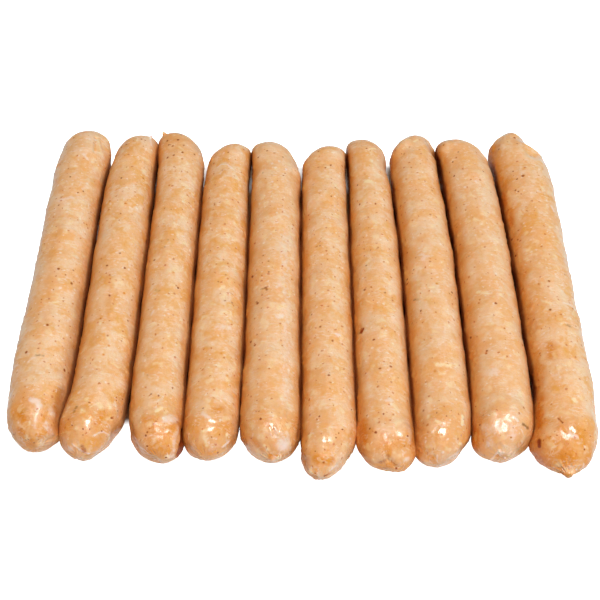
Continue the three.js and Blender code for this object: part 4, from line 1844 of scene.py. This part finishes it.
def link_09() -> SausageLink:
    """The ninth link, the palest, with a puckered near end.

    Returns:
        The link.
    """
    return SausageLink(
        node="link_09",
        seed=9.0,
        neighbours=("link_08", "link_10"),
        sides=(
            Sway((
                (-98, -1.6), (-84, -1.4), (-68, -0.6), (-50, 0), (20, 0), (50, -1.2), (72, -2.2), (90, -3.0),
            )),
            Sway(((-100, -1.6), (-88, 0), (20, 0), (50, -0.9), (74, -1.5), (96, -0.6))),
        ),
        gold=(0.65, 0.2),
        finish=CasingFinish(warm_share=0.3),
        marks=(
            # Near end
            Mark(Kind.FOLD, 7.0, at=((477, 447), (483, 453)), lift=1.1),
            Mark(Kind.FOLD, 8.0, at=((517, 455), (523, 449)), lift=-0.9),
            Mark(Kind.FOLD, 1.0, at=((497, 443), (500.5, 441), (504.5, 445)), lift=0.35),
            Mark(Kind.ORANGE, 3.0, at=((498, 455.5), (504, 457)), strength=0.8, lift=-0.5),
            Mark(Kind.ORANGE, 4.6, at=((476, 432), (478, 446)), strength=0.9),
            # Pale membrane patches on the wet near end, partly painted highlight.
            Mark(Kind.MEMBRANE, 5.5, at=((486, 428), (498, 430)), strength=0.55),
            Mark(Kind.MEMBRANE, 5.0, at=((510, 425), (512, 436)), strength=0.5),
            Mark(Kind.MEMBRANE, 1.0, at=((513.5, 417), (517.5, 421)), lift=0.2),
            Mark(Kind.MEMBRANE, 4.6, at=((489.5, 442.5),), strength=0.6, lift=0.3),
            Mark(Kind.MEMBRANE, 1.1, at=((491.8, 457.5), (499, 450.5), (503.5, 452)), lift=0.35),
            Mark(Kind.MEMBRANE, 1.0, at=((499, 450.5), (505, 458)), strength=0.7, lift=0.3),
            Mark(Kind.FAT, 2.8, at=((493.5, 414.5),), strength=0.7, lift=0.1),
            Mark(Kind.FAT, 2.4, at=((525.5, 433), (521, 441)), strength=0.35),
            Mark(Kind.WET, 2.4, at=((509, 413),), lift=0.2),
            Mark(Kind.WET, 5.5, at=((494.5, 432),), lift=0.35),
            Mark(Kind.WET, 2.8, at=((506.5, 431),), lift=0.2),
            Mark(Kind.WET, 3.2, at=((512.3, 443.5),), lift=0.35),
            Mark(Kind.HERB, 1.5, at=((522.4, 424.3), (527.4, 428)), strength=0.65),
            *spots(Kind.SPECK, 0.7, at=((510.5, 437.2), (480.3, 425), (476.5, 407.2))),
            *spots(Kind.SPECK, 0.7, at=((483.5, 415.5), (513, 428)), strength=0.6),
            # Middle
            Mark(Kind.ORANGE, 5.0, at=((486, 312),), strength=0.3),
            *spots(Kind.MEMBRANE, 1.1, at=((475.7, 235.8), (510, 356)), lift=0.1),
            Mark(Kind.MEMBRANE, 5.0, at=((493, 372),), strength=0.7),
            Mark(Kind.FAT, 2.2, at=((478, 292.5), (487, 294)), strength=0.8),
            Mark(Kind.FAT, 2.2, at=((500.4, 295.3),), strength=0.9),
            *spots(Kind.BROWN, 1.1, at=((471.6, 337.8), (495.6, 304), (487, 351)), strength=0.9),
            Mark(Kind.HERB, 1.3, at=((469, 256),), strength=0.5),
            # Far end
            Mark(Kind.FOLD, 6.0, at=((442, 151), (446, 145.5)), lift=1.2),
            Mark(Kind.FOLD, 5.0, at=((485, 160),), lift=0.8),
            *spots(Kind.MEMBRANE, 1.7, at=((465.5, 187.6), (475.8, 181.6)), lift=0.12),
            *spots(Kind.SPECK, 0.9, at=(
                (445.2, 147), (453, 162.3), (456.3, 158), (454.7, 176.4), (483, 171.7),
            )),
            *spots(Kind.SPECK, 0.8, strength=0.7, at=(
                (441.9, 153.4), (458.2, 152), (487.6, 213), (485.7, 204.8),
            )),
        ),
    )


def link_10() -> SausageLink:
    """The rightmost link, free on its right, with a golden near end and a drawn-out far one.

    Returns:
        The link.
    """
    return SausageLink(
        node="link_10",
        seed=10.0,
        shine=0.8,
        neighbours=("link_09", ""),
        sides=(
            Sway((
                (-105, 1.4), (-94, -1.6), (-84, -1.2), (-70, 0), (20, 0), (50, -0.9), (74, -1.5), (92, -2.6),
                (108, 5.5),
            )),
            Sway((
                (-105, 1.8), (-92, 0.6), (-80, 0), (-60, 0.5), (0, 0.6), (50, 1.0), (76, 1.0), (84, 0.4),
                (94, -4.2), (106, -2.0),
            )),
        ),
        gold=(1.15, 0.35),
        pleats=(0.4, 0.15),
        finish=CasingFinish(warm_share=0.8),
        marks=(
            # Near end
            Mark(Kind.FOLD, 6.0, at=((533, 444),), lift=1.2),
            Mark(Kind.FOLD, 9.0, at=((573, 468), (583, 463)), lift=1.2),
            Mark(Kind.FOLD, 11.0, at=((537, 443), (541, 456)), lift=1.4),
            Mark(Kind.FOLD, 1.5, at=((558, 418), (562.6, 422.5), (566.5, 430)), lift=-0.55),
            Mark(Kind.FOLD, 1.5, at=((575.5, 419), (572.5, 427), (576, 431)), lift=0.4),
            Mark(Kind.FOLD, 1.3, at=((568.5, 457), (568.7, 470)), lift=-0.4),
            Mark(Kind.ORANGE, 6.0, at=((562, 428), (566, 442)), strength=0.7),
            # Orange on the left flank of the near end, partly painted shade.
            Mark(Kind.ORANGE, 5.5, at=((540, 402), (541, 425)), strength=0.9),
            Mark(Kind.ORANGE, 4.0, at=((584, 445), (583, 437)), strength=0.8),
            Mark(Kind.ORANGE, 4.0, at=((549, 439),), strength=0.7),
            Mark(Kind.ORANGE, 3.6, at=((567, 475.5), (563, 472))),
            Mark(Kind.MEMBRANE, 2.0, at=((570, 435), (576, 437)), strength=0.8, lift=0.3),
            Mark(Kind.MEMBRANE, 0.9, at=((573, 459), (580, 458.5)), strength=0.5, lift=0.15),
            Mark(Kind.MEMBRANE, 0.9, at=((574, 463.5), (580, 462.5)), strength=0.5, lift=0.15),
            Mark(Kind.FAT, 2.8, at=((574.5, 400.5),), strength=0.9, lift=0.1),
            Mark(Kind.FAT, 2.0, at=((561.5, 408.5),), strength=0.5),
            Mark(Kind.WET, 4.0, at=((574.5, 420), (573, 436))),
            # Brown painted shade along the crease.
            Mark(Kind.BROWN, 0.9, at=((558, 418), (562.6, 422.5)), strength=0.6),
            Mark(Kind.BROWN, 1.5, at=((541.5, 441), (542.2, 446))),
            Mark(Kind.BROWN, 1.4, at=((552.5, 468.5), (559, 473), (564.5, 475.5)), strength=0.7),
            *spots(Kind.SPECK, 0.7, at=(
                (557.3, 435.5), (584.3, 430.4), (589.7, 436.2), (583.7, 449.3), (562.8, 422.3),
            )),
            *spots(Kind.SPECK, 0.7, at=((543.5, 414.2), (555.2, 431.7), (565.8, 453.4)), strength=0.7),
            # Middle
            Mark(Kind.ORANGE, 6.0, at=((550, 345), (552, 356)), strength=0.75),
            Mark(Kind.ORANGE, 6.0, at=((540, 288),), strength=0.5),
            Mark(Kind.ORANGE, 5.5, at=((528, 236),), strength=0.4),
            Mark(Kind.MEMBRANE, 0.9, at=((562, 303), (569, 305), (574.5, 311)), strength=0.8, lift=0.12),
            Mark(Kind.MEMBRANE, 4.0, at=((556, 376), (560, 380)), strength=0.5),
            Mark(Kind.FAT, 3.0, at=((529, 251), (536, 254)), strength=0.5),
            Mark(Kind.FAT, 2.6, at=((545, 302), (551, 304)), strength=0.6),
            Mark(Kind.FAT, 3.0, at=((550, 338),), strength=0.4),
            *spots(Kind.BROWN, 1.1, at=((516, 256), (550.3, 310), (549, 281.5))),
            Mark(Kind.HERB, 2.0, at=((567, 326), (570, 327)), strength=0.45),
            Mark(Kind.SPECK, 1.2, at=((518.2, 240),), strength=0.9),
            Mark(Kind.SPECK, 1.4, at=((512.5, 240),)),
            # Far end
            Mark(Kind.FOLD, 7.0, at=((526.5, 144.5), (532, 152)), lift=-2.2),
            Mark(Kind.FOLD, 6.0, at=((496, 142), (494, 148)), lift=-1.0),
            Mark(Kind.FOLD, 5.0, at=((514, 135.5),), lift=0.9),
            Mark(Kind.ORANGE, 6.0, at=((503.5, 198), (512, 225)), strength=0.7),
            Mark(Kind.ORANGE, 2.6, at=((498.4, 145.5),), strength=0.7),
            Mark(Kind.MEMBRANE, 1.2, at=((540, 159.5), (543, 164.5)), lift=0.15),
            Mark(Kind.MEMBRANE, 1.1, at=((550.5, 206.5), (553.5, 212)), lift=0.15),
            Mark(Kind.FAT, 2.0, at=((515.6, 156.4),), strength=0.6),
            *spots(Kind.SPECK, 1.1, at=((514.4, 138.2), (509.3, 133.8), (521.5, 139.8))),
            Mark(Kind.SPECK, 1.5, at=((523.3, 176.5),)),
            *spots(Kind.SPECK, 0.9, at=(
                (517.2, 144.2), (498.8, 149.3), (513.3, 171.7), (517.3, 179.6), (515.6, 190.5),
                (518.4, 191.8),
            )),
        ),
    )


def main() -> None:
    """Builds the scene piece by piece, and logs the number of faces of each link."""
    logging.basicConfig(level=logging.INFO, format="%(message)s")
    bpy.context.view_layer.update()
    camera = PhotoCamera()
    camera.build()
    Studio().build()
    patterns = Patterns()
    row = (
        link_01(),
        link_02(),
        link_03(),
        link_04(),
        link_05(),
        link_06(),
        link_07(),
        link_08(),
        link_09(),
        link_10(),
    )
    for link in row:
        piece = link.build(camera, patterns)
        log.info("%s: %d faces", piece.name, len(piece.data.polygons))


if __name__ == "__main__":
    main()
